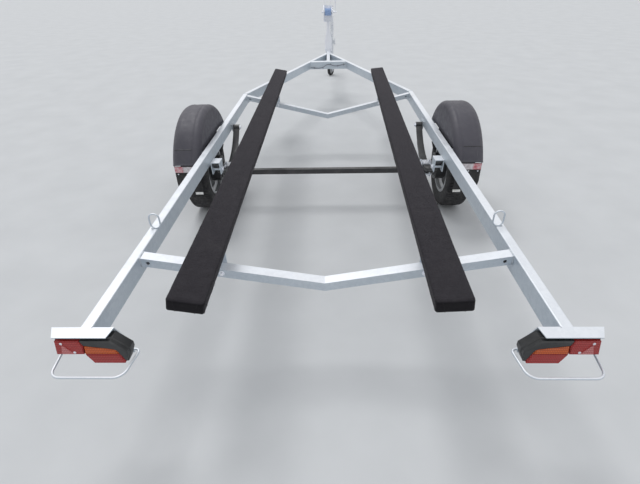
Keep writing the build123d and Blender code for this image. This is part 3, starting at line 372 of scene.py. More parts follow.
class Shell:
    """Gathers points and faces of one piece, with a material number for each face."""

    def __init__(self):
        self.points = []
        self.faces = []
        self.looks = []

    def face(self, corners, look=0):
        base = len(self.points)
        self.points.extend(Vector(c) for c in corners)
        self.faces.append(tuple(range(base, base + len(corners))))
        self.looks.append(look)

    def grid(self, rows, look=0, around=False, along=False):
        """Quads between rows of equal length; around closes rows, along closes the stack."""
        base = len(self.points)
        wide = len(rows[0])
        for row in rows:
            self.points.extend(Vector(p) for p in row)
        for i in range(len(rows) if along else len(rows) - 1):
            here = base + i * wide
            there = base + (i + 1) % len(rows) * wide
            for j in range(wide if around else wide - 1):
                k = (j + 1) % wide
                self.faces.append((here + j, here + k, there + k, there + j))
                self.looks.append(look)

    def turned(self, outline, place, steps):
        """Turns pairs of height and radius about the local Z axis of a place."""
        rows = []
        for along, r in outline:
            turn = [2 * pi * i / steps for i in range(steps)]
            rows.append([place @ Vector((r * cos(a), r * sin(a), along)) for a in turn])
        self.grid(rows, around=True)

    def tube(self, path, radius, sides, closed=False):
        """Round tube along a path; radius is a number or one number for each point."""
        path = [Vector(p) for p in path]
        count = len(path)
        radii = radius if isinstance(radius, (list, tuple)) else [radius] * count
        rows = []
        side = None
        for i, point in enumerate(path):
            before = path[(i - 1) % count] if closed or i else point
            after = path[(i + 1) % count] if closed or i < count - 1 else point
            run = (after - before).normalized()
            if side is None:
                side = run.orthogonal().normalized()
            side = (side - run * side.dot(run)).normalized()
            other = run.cross(side)
            turn = [2 * pi * k / sides for k in range(sides)]
            rows.append([point + (side * cos(a) + other * sin(a)) * radii[i] for a in turn])
        self.grid(rows, around=True, along=closed)
        if not closed:
            self.face(rows[0])
            self.face(rows[-1])

    def slab(self, outline, place, depth, edge=0.001, look=0):
        """Plate of a flat outline, raised along local Z, with chamfered upper edges."""
        inset = offset_outline(outline, edge)
        rows = [[(x, y, 0) for x, y in outline], [(x, y, depth - edge) for x, y in outline]]
        rows.append([(x, y, depth) for x, y in inset])
        rows = [[place @ Vector(p) for p in row] for row in rows]
        self.grid(rows, look, around=True)
        self.face(rows[0], look)
        self.face(rows[-1], look)

    def bolt(self, place, size, washer=True, stud=0.0):
        """Hexagon head on a washer, standing on a surface along local Z."""
        base = 0.0
        if washer:
            base = 0.16 * size
            ring = [(0, 0.5 * size), (0, 1.12 * size), (base * 0.8, 1.12 * size), (base, 1.05 * size)]
            self.turned(ring + [(base, 0.5 * size)], place, 20)
        hexagon = [(0.88 * size * cos(pi / 3 * i), 0.88 * size * sin(pi / 3 * i)) for i in range(6)]
        self.slab(hexagon, place @ Matrix.Translation((0, 0, base)), 0.66 * size, 0.08 * size)
        if stud:
            top = base + 0.66 * size
            rows = [(top - 0.1 * size, 0.46 * size)]
            turns = max(int(stud / (0.18 * size)), 1)
            for k in range(turns):
                low = top + stud * k / turns
                rows += [(low, 0.42 * size), (low + stud * 0.5 / turns, 0.49 * size)]
            rows += [(top + stud, 0.40 * size), (top + stud, 0.0)]
            self.turned(rows, place, 14)

    def weld(self, path, radius=0.0032, closed=False):
        """Rippled bead along a path of corners."""
        corners = [Vector(p) for p in path]
        if closed:
            corners.append(corners[0])
        line = []
        for a, b in zip(corners, corners[1:]):
            steps = max(int((b - a).length / 0.0045), 2)
            line += [a.lerp(b, k / steps) for k in range(steps)]
        if not closed:
            line.append(corners[-1])
        wobble = [0.0006 * noise.noise(p * 160) for p in line]
        radii = [radius * (1.0 if k % 2 else 0.80) + w for k, w in enumerate(wobble)]
        self.tube(line, radii, 7, closed)

    def build(self, name, looks, body, replaced=(), side=1, sharp=38):
        mesh = bpy.data.meshes.new(name)
        mesh.from_pydata([(side * p.x, p.y, p.z) for p in self.points], [], self.faces)
        for look in looks:
            mesh.materials.append(look)
        mesh.polygons.foreach_set("material_index", self.looks)
        work = bmesh.new()
        work.from_mesh(mesh)
        bmesh.ops.remove_doubles(work, verts=work.verts, dist=0.00002)
        bmesh.ops.recalc_face_normals(work, faces=work.faces)
        work.to_mesh(mesh)
        work.free()
        mesh.polygons.foreach_set("use_smooth", [True] * len(mesh.polygons))
        mesh.set_sharp_from_angle(angle=radians(sharp))
        made = added(name, mesh)
        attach(made, body)
        if replaced:
            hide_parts(*replaced)
        return made


def offset_outline(outline, inset):
    """Moves the sides of a flat outline inward by the same distance."""
    area = sum(a[0] * b[1] - b[0] * a[1] for a, b in zip(outline, outline[1:] + outline[:1]))
    way = 1 if area > 0 else -1
    moved = []
    for i, here in enumerate(outline):
        before = Vector(outline[i - 1])
        here = Vector(here)
        after = Vector(outline[(i + 1) % len(outline)])
        a = (here - before).normalized()
        b = (after - here).normalized()
        normal_a = Vector((-a.y, a.x)) * way
        normal_b = Vector((-b.y, b.x)) * way
        middle = (normal_a + normal_b)
        middle /= max(middle.length_squared / 2, 0.2)
        moved.append(tuple(here + middle * inset))
    return moved


def spot(point, direction):
    """Place whose local Z points along a direction."""
    direction = Vector(direction).normalized()
    return Matrix.Translation(point) @ direction.to_track_quat("Z", "Y").to_matrix().to_4x4()


def rear_plane(s):
    """Place for a flat outline of X and Z that is raised towards the rear."""
    return Matrix(((1, 0, 0, 0), (0, 0, -1, REAR + s), (0, 1, 0, 0), (0, 0, 0, 1)))


def arm_inner_x(s):
    """Distance from the middle to the inner face of a front arm."""
    centre_s = RAIL_LENGTH - tan(ARM_TURN / 2) * RAIL_HALF
    return RAIL_MID - (s - centre_s) * tan(ARM_TURN) - RAIL_HALF / cos(ARM_TURN)


def from_top(x, r, angle):
    """Point at a radius about the axle, its angle counted from the top towards the front."""
    return at(x, AXLE_S + r * sin(angle), AXLE_Z + r * cos(angle))


def from_front(x, r, angle):
    """Point at a radius about the axle, its angle counted from the front upward."""
    return at(x, AXLE_S + r * cos(angle), AXLE_Z + r * sin(angle))


def border(rows):
    """Points around the edge of a grid of rows."""
    last = [row[-1] for row in rows]
    return [row[0] for row in rows] + rows[-1][1:] + last[-2::-1] + rows[0][-2:0:-1]


# ---------- bunks

BUNK_REAR = {"left": (0.418, 0.020), "right": (0.398, 0.020)}
BUNK_FRONT = {"left": (0.472, 3.607), "right": (0.494, 3.607)}
BUNK_TOP = 0.615
BUNK_WIDE = 0.121
BUNK_THICK = 0.049
BUNK_TILT = {"left": radians(11), "right": radians(5)}
BUNK_ROUND = 0.0065
CARPET_INSET = 0.0012
CARPET_HAIRS = 21000


def bunk_section(shrink):
    """Rounded section of the wrapped plank, as points with outward directions."""
    half = BUNK_WIDE / 2 - shrink
    deep = BUNK_THICK / 2 - shrink
    arcs = []
    for cx, cz, start in ((1, 1, 0), (-1, 1, 90), (-1, -1, 180), (1, -1, 270)):
        turns = [radians(start + 90 * k / 5) for k in range(6)]
        arcs.append([(cx * (half - BUNK_ROUND) + BUNK_ROUND * cos(a),
                      cz * (deep - BUNK_ROUND) + BUNK_ROUND * sin(a), cos(a), sin(a)) for a in turns])
    dense = []
    for i, steps in enumerate((13, 4, 13, 4)):
        here, after = arcs[i][-1], arcs[(i + 1) % 4][0]
        dense += arcs[i][:-1]
        dense += [tuple(p + (q - p) * k / steps for p, q in zip(here, after)) for k in range(steps)]
    return dense


def bunk(side_name, side):
    rng = random.Random(11 if side > 0 else 12)
    rear_x, rear_s = BUNK_REAR[side_name]
    front_x, front_s = BUNK_FRONT[side_name]
    length = front_s - rear_s
    turn = -atan2(front_x - rear_x, length)
    middle = at((rear_x + front_x) / 2, (rear_s + front_s) / 2, BUNK_TOP)
    place = Matrix.Translation(middle) @ Matrix.Rotation(turn, 4, "Z")
    place = place @ Matrix.Rotation(-BUNK_TILT[side_name], 4, "Y")
    place = place @ Matrix.Translation((0, 0, -BUNK_THICK / 2))
    half = length / 2
    shell = Shell()
    ends = [0.0, 0.0012, 0.0035, 0.0070, 0.0120, 0.020]
    stations = [-half + e for e in ends]
    stations += [-half + 0.02 + (length - 0.04) * k / 190 for k in range(1, 190)]
    stations += [half - e for e in reversed(ends)]
    pull = {0.0: 0.0085, 0.0012: 0.0046, 0.0035: 0.0022, 0.0070: 0.0008}
    rows = []
    for y in stations:
        near = round(half - abs(y), 5)
        shrink = CARPET_INSET + pull.get(near, 0.0)
        row = []
        for x, z, nx, nz in bunk_section(shrink):
            p = Vector((x, y, z))
            swell = 0.0009 * noise.noise(Vector((x * 9, y * 3.3 + side * 7, z * 9)))
            swell += 0.0005 * noise.noise(Vector((x * 60, y * 34, z * 60 + side)))
            row.append(place @ (p + Vector((nx, 0, nz)) * swell))
        rows.append(row)
    shell.grid(rows, around=True)
    for row, out in ((rows[0], -1), (rows[-1], 1)):
        centre = sum(row, Vector()) / len(row)
        rings = [row] + [[p.lerp(centre, t) for p in row] for t in (0.12, 0.3, 0.55, 0.8)]
        shell.grid(rings, around=True)
        shell.face(rings[-1])
    # Short pile that stands out of the carpet
    section = bunk_section(CARPET_INSET)
    for _ in range(CARPET_HAIRS):
        y = rng.uniform(-half + 0.003, half - 0.003)
        i = rng.randrange(len(section))
        a = section[i]
        b = section[(i + 1) % len(section)]
        t = rng.random()
        x, z, nx, nz = (p + (q - p) * t for p, q in zip(a, b))
        if z < 0 and abs(nz) > 0.9 and rng.random() < 0.6:
            continue
        out = Vector((nx, rng.uniform(-0.6, 0.6), nz)).normalized()
        aside = Vector((rng.uniform(-1, 1), rng.uniform(-1, 1), rng.uniform(-1, 1)))
        cross = out.cross(aside).normalized()
        root = Vector((x, y, z))
        tall = rng.uniform(0.0012, 0.0026)
        wide = rng.uniform(0.0005, 0.0010)
        hair = (root - cross * wide, root + cross * wide, root + out * tall)
        shell.face([place @ p for p in hair])
    shell.build("carpet_bunk_" + side_name, [CARPET], "frame", ["bunk_" + side_name], side, 60)
    fold = Shell()
    for end, way in ((-half, -1), (half, 1)):
        for cut in (-0.030, 0.030):
            path = []
            for k in range(9):
                z = -BUNK_THICK / 2 + 0.005 + (BUNK_THICK - 0.012) * k / 8
                path.append(place @ Vector((cut + cut * 0.25 * k / 8, end - way * 0.0002, z)))
            fold.tube(path, 0.0011, 6)
    fold.build("carpet_folds_" + side_name, [CARPET], "frame", (), side)


# ---------- mudguards

GUARD_IN = 0.775
GUARD_OUT = 0.960
GUARD_R = 0.435
GUARD_WALL = 0.004
GUARD_END = radians(65.5)
GUARD_SIDE_LOW = 0.240
GUARD_LIP = 0.0022
GUARD_BAR_REACH = sqrt(0.380 ** 2 - 0.220 ** 2)
GUARD_BAR_TOP = 0.515
GUARD_BAR_LOW = 0.485
GROOVE = radians(52.7)
RIDGES = (0.795, 0.860)
MUD_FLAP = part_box("mud_flap_right")
FLAP_BACK = MUD_FLAP[0].y - REAR
FLAP_FRONT = MUD_FLAP[1].y - REAR
FLAP_LOW = 0.246
FLAP_INSET = 0.018


def guard_section(angle, depth):
    """Points of X and radius, from the outer skirt's edge over the crown to the inner side's edge."""
    outer_round = 0.060 - depth
    inner_round = 0.036 - depth
    x1 = GUARD_OUT - depth
    x0 = GUARD_IN + depth
    top = GUARD_R - depth
    points = [(x1, GUARD_R - 0.070), (x1, GUARD_R - 0.0655)]
    for k in range(9):
        a = radians(90 * k / 8)
        points.append((x1 - outer_round + outer_round * cos(a), top - outer_round + outer_round * sin(a)))
    inside = x0 + inner_round
    start = x1 - outer_round
    crown = [0.08, 0.25, 0.45, 0.62, 0.72, 0.76, 0.78, 0.795, 0.81, 0.83, 0.845, 0.86, 0.875, 0.90, 0.95]
    for share in crown:
        x = start + (inside - start) * share
        rise = 0.0
        if depth == 0:
            rise = 0.0022 * sin(pi * share)
            for mark in RIDGES:
                rise += 0.0009 * max(0.0, 1 - abs(share - mark) / 0.016)
        points.append((x, top - 0.0025 * (depth == 0) + rise))
    for k in range(9):
        a = radians(90 + 90 * k / 8)
        points.append((inside + inner_round * cos(a), top - inner_round + inner_round * sin(a)))
    low = min(GUARD_R - 0.040, GUARD_SIDE_LOW / max(cos(angle), 0.2))
    high = top - inner_round
    for k in range(1, 9):
        points.append((x0, high + (low - high) * k / 8))
    return points


def guard(side_name, side):
    stations = [-GUARD_END + 2 * GUARD_END * k / 110 for k in range(111)]
    for mark in (-GROOVE, GROOVE):
        stations += [mark + gap for gap in (-0.0080, -0.0055, -0.0045, 0.0045, 0.0055, 0.0080)]
    for end in (-1, 1):
        stations += [end * (GUARD_END - gap) for gap in (0.006, 0.012, 0.022, 0.030)]
    stations = sorted(set(stations))
    shell = Shell()
    rows = []
    for angle in stations:
        row = []
        near = GUARD_END - abs(angle)
        lip = GUARD_LIP if near < 0.013 else GUARD_LIP * max(0.0, 1 - (near - 0.013) / 0.016)
        for i, (x, r) in enumerate(guard_section(angle, 0.0)):
            r += lip - GUARD_LIP
            cut = min(abs(angle - GROOVE), abs(angle + GROOVE))
            if cut < 0.0050 and 6 < i < 20:
                r -= 0.0034
            row.append(from_top(x, r, -angle))
        row += [from_top(x, r, -angle) for x, r in reversed(guard_section(angle, GUARD_WALL))]
        rows.append(row)
    shell.grid(rows, around=True)
    half = len(rows[0]) // 2
    for row in (rows[0], rows[-1]):
        shell.grid([row[:half], row[:half - 1:-1]])
    shell.build("guard_shell_" + side_name, [GUARD], "frame", ["mudguard_" + side_name],
                side, 50)

    # Painted shade: a black tube laid along the bottom of the two grooves to darken them
    groove_shade = Shell()
    for way in (-1, 1):
        crown = guard_section(0.0, 0.0)[7:20]
        groove_shade.tube([from_top(x, r - 0.0026, way * GROOVE) for x, r in crown], 0.0022, 8)
    groove_shade.build("guard_groove_painted_shade_" + side_name, [HOUSING], "frame", (), side)

    # Bolts that hold the guard on its bars
    bolts = Shell()
    for way in (-1, 1):
        for x in (0.800, 0.930):
            place = spot(at(x, AXLE_S + way * GUARD_BAR_REACH, GUARD_BAR_TOP), (0, 0, 1))
            bolts.bolt(place, 0.008)
    bolts.build("guard_bolts_" + side_name, [ZINC], "frame", (), side)


def flap(side_name, side):
    """Ribbed rubber flap with its tape strip and rivets."""
    end_z = AXLE_Z + (GUARD_R - GUARD_WALL) * cos(GUARD_END)
    x0 = GUARD_IN + FLAP_INSET
    x1 = GUARD_OUT - FLAP_INSET
    high = end_z - 0.008
    shell = Shell()
    faces = []
    for s, way in ((FLAP_BACK, -1), (FLAP_FRONT, 1)):
        rows = []
        for k in range(31):
            z = high + (FLAP_LOW - high) * k / 30
            pinch = []
            for rounding in (0.020, 0.090):
                drop = max(0.0, rounding - (z - FLAP_LOW))
                pinch.append(rounding - sqrt(max(rounding ** 2 - drop ** 2, 0.0)))
            row = []
            for j in range(25):
                x = x0 + pinch[0] + (x1 - x0 - pinch[0] - pinch[1]) * j / 24
                rib = 0.0007 * (1 + cos(x * 2 * pi / 0.0143)) * (way < 0)
                rib *= 0.02 < z - FLAP_LOW < 0.085
                row.append(at(x, s + 0.0006 - way * 0.0006 + rib * 0.9, z))
            rows.append(row)
        faces.append(rows)
        shell.grid(rows)
    shell.grid([border(rows) for rows in faces], around=True)
    tab0 = GUARD_IN + 0.036
    tab1 = GUARD_OUT - 0.060
    tab = [(tab0, high), (tab1, high), (tab1, end_z + 0.014), (tab0, end_z + 0.014)]
    shell.slab(tab, rear_plane(FLAP_FRONT), FLAP_FRONT - FLAP_BACK, 0.0005)
    shell.build("flap_" + side_name, [RUBBER], "frame", ["mud_flap_" + side_name], side, 40)

    strip = Shell()
    z0, z1 = high - 0.040, high - 0.002
    for x_a, x_b, look in ((x0 + 0.004, 0.890, 0), (0.890, x1 - 0.002, 1)):
        outline = [(x_a, z0), (x_b, z0), (x_b, z1), (x_a, z1)]
        strip.slab(outline, rear_plane(FLAP_BACK - 0.0001), 0.0022, 0.0006, look)
    strip.build("flap_strip_" + side_name, [TAPE_WHITE, TAPE_RED], "frame", (), side)
    rivets = Shell()
    for x in (x0 + 0.018, (x0 + x1) / 2, x1 - 0.018):
        dome = [(0, 0.0045), (0.0012, 0.0042), (0.0022, 0.0030), (0.0028, 0.0012), (0.0029, 0.0)]
        rivets.turned(dome, spot(at(x, FLAP_BACK, z0 - 0.011), (0, -1, 0)), 16)
    rivets.build("flap_rivets_" + side_name, [BRIGHT], "frame", (), side)
    label = Shell()
    outline = [(0.790, 0.2600), (0.838, 0.2600), (0.838, 0.2765), (0.790, 0.2765)]
    label.slab(outline, rear_plane(FLAP_BACK + 0.0002), 0.0024, 0.0005)
    label.build("flap_label_" + side_name, [PAPER], "frame", (), side)


# ---------- wheels

WHEEL_X = 0.868
TYRE_R = 0.280
BEAD_R = 0.1735
BEAD_X = 0.0648
PITCHES = 78


def tread_depth(x, part, row_shift):
    """How deep the tread is cut at a place across the tyre; part runs 0 to 3 through one pitch."""
    across = abs(x)
    for centre in (0.013, 0.039):
        if abs(across - centre) < 0.0034:
            return 0.0062
    slot = part in (1, 2)
    if across > 0.0425 and slot:
        return 0.0052
    if 0.0164 < across < 0.0356 and slot and row_shift:
        return 0.0036
    if across < 0.0096 and slot and not row_shift:
        return 0.0030
    return 0.0


def tyre(side_name, side):
    edges = [0.0, 0.0093, 0.0096, 0.0164, 0.0167, 0.026, 0.0353, 0.0356, 0.0424, 0.0427, 0.048, 0.054]
    shoulder = [(0.0600, 0.2784), (0.0660, 0.2755), (0.0715, 0.2710), (0.0752, 0.2645)]
    wall = [(0.0772, 0.256), (0.0782, 0.2555), (0.0786, 0.248), (0.0797, 0.2400), (0.0800, 0.2280),
            (0.0796, 0.2180), (0.0786, 0.2140), (0.0790, 0.2120), (0.0782, 0.2090), (0.0760, 0.2000),
            (0.0735, 0.1935), (0.0705, 0.1893), (0.0672, 0.1873), (0.0652, 0.1860), (BEAD_X, BEAD_R)]
    tread = [(x, TYRE_R - 0.0016 * (x / 0.054) ** 2) for x in edges]
    half = [(x, r, "tread") for x, r in tread] + [(x, r, "shoulder") for x, r in shoulder]
    half += [(x, r, "wall") for x, r in wall]
    outline = [(-x, r, kind) for x, r, kind in reversed(half)] + half[1:]
    rows = []
    shares = (0.0, 0.03, 0.21, 0.24)
    for pitch in range(PITCHES):
        for part, share in enumerate(shares):
            row = []
            for x, r, kind in outline:
                angle = 2 * pi * (pitch + share) / PITCHES
                if kind == "tread":
                    angle += 0.0065 * (x / 0.02) * (1 if abs(x) < 0.0427 else 0.6)
                    r -= tread_depth(x, part, (pitch + (x > 0)) % 2)
                elif kind == "shoulder":
                    angle += 0.0100 * (1 if x > 0 else -1)
                    if part in (1, 2):
                        r -= 0.0044 if abs(x) < 0.0700 else 0.0024
                row.append(from_top(WHEEL_X + x, r, angle))
            rows.append(row)
    shell = Shell()
    shell.grid(rows, along=True)
    turns = [2 * pi * k / len(rows) for k in range(len(rows))]
    bead = [[from_top(WHEEL_X + x, BEAD_R, a) for a in turns] for x in (BEAD_X, 0.0, -BEAD_X)]
    shell.grid(bead, around=True)
    shell.build("tyre_tread_" + side_name, [TYRE], "wheel_" + side_name, ["tyre_" + side_name],
                side, 32)


def wheel_trim(side_name, side):
    """Wheel bolts, valve and balance weight on the rim."""
    trim = Shell()
    face_x = WHEEL_X + 0.022 + 0.005
    for k in range(4):
        a = radians(45 + 90 * k)
        place = spot(from_front(face_x, 0.049, a), (1, 0, 0))
        trim.turned([(0.0, 0.0135), (0.004, 0.0125), (0.006, 0.0098)], place, 20)
        trim.bolt(place @ Matrix.Translation((0, 0, 0.003)), 0.012, washer=False, stud=0.003)
    weight = []
    for k in range(7):
        a = radians(200 + 7 * k / 6)
        weight.append(from_front(WHEEL_X + 0.0695, 0.1815, a))
    trim.tube(weight, 0.0030, 8)
    trim.build("wheel_bolts_" + side_name, [ZINC], "wheel_" + side_name, (), side)
    valve = Shell()
    a = radians(122)
    foot = from_front(WHEEL_X + 0.045, 0.150, a)
    lean = Vector((1, -0.25 * cos(a), -0.25 * sin(a)))
    outline = [(0, 0.0075), (0.006, 0.0058), (0.014, 0.0046), (0.022, 0.0042), (0.0222, 0.0050)]
    outline += [(0.034, 0.0050), (0.036, 0.0040), (0.0365, 0.0)]
    valve.turned(outline, spot(foot, lean), 16)
    valve.build("valve_" + side_name, [GRIP], "wheel_" + side_name, (), side)
    drum = Shell()
    inner = spot(at(0.750, AXLE_S, AXLE_Z), (-1, 0, 0))
    outline = [(0.0005, 0.018), (0.0005, 0.046), (0.0030, 0.0485), (0.0030, 0.080), (0.0, 0.0830)]
    drum.turned(outline, inner, 48)
    for k in range(5):
        a = radians(20 + 72 * k)
        drum.bolt(spot(from_front(0.7468, 0.061, a), (-1, 0, 0)), 0.007)
    drum.build("hub_back_" + side_name, [BLACK], "wheel_" + side_name, (), side)


# ---------- lamps

LENS_BACK = -0.0340
LENS_FACE = -0.0458


def lamp(side_name, side):
    """Rear lamp: stepped black housing, red and amber lenses, reflector and screws."""
    top = RAIL_TOP - 0.012
    x0, x1, split = 0.603, 0.838, 0.724
    low, high = top - 0.103, top - 0.065
    body = [(x0, top - 0.044), (x0 + 0.044, top), (x1 - 0.010, top), (x1, high), (split + 0.020, high)]
    body += [(split, low), (x0 + 0.018, low), (x0, low + 0.042)]
    shell = Shell()
    shell.slab(body, rear_plane(-0.003), 0.031, 0.003)
    hood = [(x0 + 0.003, top - 0.046), (x0 + 0.046, top - 0.003), (split + 0.021, top - 0.003)]
    hood += [(split + 0.014, top - 0.0225), (x0 + 0.044, top - 0.037), (x0 + 0.036, top - 0.043)]
    hood += [(x0 + 0.0285, top - 0.060), (x0 + 0.0165, top - 0.0900), (x0 + 0.003, top - 0.061)]
    shell.slab(hood, rear_plane(-0.0335), 0.0150, 0.004)
    shell.build("lamp_body_" + side_name, [HOUSING], "frame",
                ["lamp_housing_" + side_name], side)

    red = Shell()
    outer = [(split + 0.024, top - 0.005), (x1 - 0.014, top - 0.005), (x1 - 0.004, high + 0.004)]
    outer += [(split + 0.0225, high + 0.004), (split + 0.017, top - 0.0255)]
    red.slab(outer, rear_plane(LENS_BACK), 0.0120, 0.0030)
    lower = [(x0 + 0.030, top - 0.0595), (split + 0.018, top - 0.0595), (split + 0.0165, high + 0.003)]
    lower += [(split - 0.001, low + 0.005), (x0 + 0.022, low + 0.005), (x0 + 0.018, low + 0.014)]
    red.slab(lower, rear_plane(LENS_BACK), 0.0148, 0.0040)
    red.build("lamp_red_" + side_name, [RED], "frame", ["lamp_lens_" + side_name], side)

    mark = [(0.775, high + 0.009), (0.815, high + 0.009), (0.803, high + 0.048)]
    pale = Shell()
    pale.slab(mark, rear_plane(LENS_FACE), 0.0022, 0.0010)
    pale.build("lamp_reflector_" + side_name, [REFLECTOR], "frame", (), side)

    amber = Shell()
    band = [(x0 + 0.031, top - 0.057), (x0 + 0.039, top - 0.0395), (split + 0.012, top - 0.0255)]
    band += [(split + 0.018, top - 0.057)]
    amber.slab(band, rear_plane(LENS_BACK), 0.0142, 0.0035)
    amber.build("lamp_amber_" + side_name, [AMBER], "frame", (), side)

    screws = Shell()
    for x, z in ((x1 - 0.034, top - 0.013), (split + 0.048, high + 0.015)):
        dome = [(0, 0.0046), (0.0016, 0.0044), (0.0026, 0.0030), (0.0027, 0.0012), (0.0012, 0.0010)]
        screws.turned(dome + [(0.0012, 0)], spot(at(x, LENS_FACE, z), (0, -1, 0)), 16)
    for x in (0.700, 0.800):
        screws.bolt(spot(at(x, 0.0, 0.470), (0, 1, 0)), 0.006, stud=0.004)
    screws.build("lamp_screws_" + side_name, [BRIGHT], "frame", (), side)

    gland = Shell()
    outline = [(0, 0.0085), (0.004, 0.0085), (0.005, 0.0065), (0.012, 0.0050), (0.018, 0.0042), (0.018, 0.0)]
    gland.turned(outline, spot(at(0.650, 0.0, 0.450), (0, 1, 0)), 16)
    gland.build("lamp_gland_" + side_name, [GRIP], "frame", (), side)


# ---------- welds

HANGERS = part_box("spring_hangers")
# Columns: length and height of the pin, hanger's top, its half width at the rail's bottom, nut's place
PINS = ((HANGERS[1].y - REAR - 0.040, 0.4580, 0.4903, 0.0318, 0.6685),
        (HANGERS[0].y - REAR + 0.040, 0.4074, 0.4630, 0.0386, 0.6630))
RING_S = 0.600


def welds():
    shell = Shell()

    def bead(points, radius=0.0032, closed=False):
        shell.weld([at(*p) for p in points], radius, closed)

    for side in SIDES.values():
        face = side * (RAIL_IN - 0.001)
        for s, _ in CROSSBARS:
            a, b = s - CROSSBAR_HALF, s + CROSSBAR_HALF
            top = RAIL_TOP - 0.004
            low = top - CROSSBAR_HIGH
            bead([(face, a, top), (face, b, top), (face, b, low), (face, a, low)], closed=True)
        mitre = RAIL_LENGTH - 2 * RAIL_HALF * tan(ARM_TURN / 2)
        loop = [(side * RAIL_OUT, RAIL_LENGTH, RAIL_TOP), (side * RAIL_IN, mitre, RAIL_TOP)]
        loop += [(side * RAIL_IN, mitre, RAIL_BOTTOM), (side * RAIL_OUT, RAIL_LENGTH, RAIL_BOTTOM)]
        bead(loop, 0.0024, closed=True)
        for s in (BEAM_BACK, BEAM_FRONT):
            x = side * arm_inner_x(s)
            bead([(x, s, RAIL_TOP - 0.002), (x, s, RAIL_BOTTOM + 0.002)], 0.003)
        bead([(side * arm_inner_x(s), s, RAIL_TOP) for s in (BEAM_BACK, BEAM_FRONT)], 0.0022)
        x = side * RAIL_HALF
        meet = RAIL_LENGTH + (RAIL_MID - RAIL_HALF - RAIL_HALF / cos(ARM_TURN)) / tan(ARM_TURN)
        far = RAIL_LENGTH + (RAIL_MID - RAIL_HALF + RAIL_HALF / cos(ARM_TURN)) / tan(ARM_TURN)
        bead([(x, meet, RAIL_TOP), (x, far, RAIL_TOP)], 0.0022)
        bead([(x, far, RAIL_TOP), (x, far, RAIL_BOTTOM)], 0.0030)
        bead([(x, BEAM_FRONT, RAIL_TOP), (x, BEAM_FRONT, RAIL_BOTTOM)], 0.0030)
        for s in (0.0, -0.003):
            bead([(side * RAIL_IN, s, RAIL_TOP), (side * RAIL_IN, s, RAIL_BOTTOM)], 0.0022)
        x = side * (RAIL_OUT + 0.001)
        for s in (AXLE_S - GUARD_BAR_REACH, AXLE_S + GUARD_BAR_REACH):
            bead([(x, s - 0.004, GUARD_BAR_TOP), (x, s - 0.004, GUARD_BAR_LOW)], 0.0026)
        for s, _, top, foot, _ in PINS:
            for way in (-1, 1):
                bead([(face, s, top), (face, s + way * 0.0392, top), (face, s + way * foot, 0.455)], 0.0028)
        x = side * (RAIL_IN + 0.006 - 0.0215 + 0.043)
        bead([(x - side * 0.012, RING_S, 0.531), (x, RING_S, 0.531)], 0.0040)
    shell.build("weld_beads", [WELD], "frame")


# ---------- fasteners

def fasteners():
    shell = Shell()
    for side_name, side in SIDES.items():
        rear_x, rear_s = BUNK_REAR[side_name]
        front_x, front_s = BUNK_FRONT[side_name]
        for s, drop in CROSSBARS:
            face = s + CROSSBAR_HALF + 0.0003
            share = (face - rear_s) / (front_s - rear_s)
            x = rear_x + (front_x - rear_x) * share
            top = RAIL_TOP - 0.004 - drop * (1 - x / RAIL_IN)
            for dx in (-0.018, 0.018):
                z = top - CROSSBAR_HIGH / 2 + drop / RAIL_IN * dx
                bolt_x = side * (x + dx)
                shell.bolt(spot(at(bolt_x, face + 0.006, z), (0, 1, 0)), 0.010)
                shell.bolt(spot(at(bolt_x, s - CROSSBAR_HALF, z), (0, -1, 0)), 0.010, stud=0.006)
        for dx in (-0.0295, 0.0295):
            for dy in (-0.024, 0.024):
                shell.bolt(spot(at(side * (SPRING_X + dx), AXLE_S + dy, 0.2226), (0, 0, -1)), 0.0095)
        for s, z, _, _, end in PINS:
            shell.bolt(spot(at(side * end, s, z), (-side, 0, 0)), 0.0140)
    for side in SIDES.values():
        for dy in (-0.057, 0.057):
            shell.bolt(spot(at(side * 0.037, POST_S + dy, 0.5363), (0, 0, 1)), 0.011)
            shell.bolt(spot(at(side * 0.0263, POST_S + dy, 0.512), (side, 0, 0)), 0.010)
        for dz in (0.030, 0.150):
            shell.bolt(spot(at(side * 0.012, POST_S - 0.0293, 0.880 + dz), (0, -1, 0)), 0.009)
        for dz in (-0.065, -0.035):
            shell.bolt(spot(at(side * 0.018, POST_S + 0.0310, 0.960 + dz), (0, 1, 0)), 0.009)
        for s in (6.530, 6.630):
            shell.bolt(spot(at(side * 0.0253, s, 0.500), (side, 0, 0)), 0.012, stud=0.005)
    shell.build("bolts", [BRIGHT], "frame")


def cable_clips():
    """Clips that hold the cable on the nose beam's rear face."""
    clips = Shell()
    # Columns: share of the cable's half length, millimetres below the rails' top
    for share, down in ((-0.80, 66), (-0.30, 63), (0.12, 26), (0.55, 46), (0.88, 31)):
        x = share * (arm_inner_x(BEAM_BACK - 0.004) - 0.008)
        z = RAIL_TOP - down / 1000
        path = [at(x, BEAM_BACK - 0.0006, z - 0.012)]
        for k in range(9):
            a = radians(-90 + 180 * k / 8)
            path.append(at(x, BEAM_BACK - 0.0038 - 0.0051 * cos(a), z + 0.0053 * sin(a)))
        path.append(at(x, BEAM_BACK - 0.0006, z + 0.012))
        clips.tube(path, 0.0013, 6)
    clips.build("cable_clips", [GRIP], "frame")


# ---------- winch

WINCH_S = POST_S - 0.025 - 0.082
WINCH_Z = RAIL_TOP + 0.350 + 0.118
STRAP_IN = 0.0226
STRAP_OUT = 0.0436
STRAP_HALF = 0.0405
STRAP_TURNS = 9


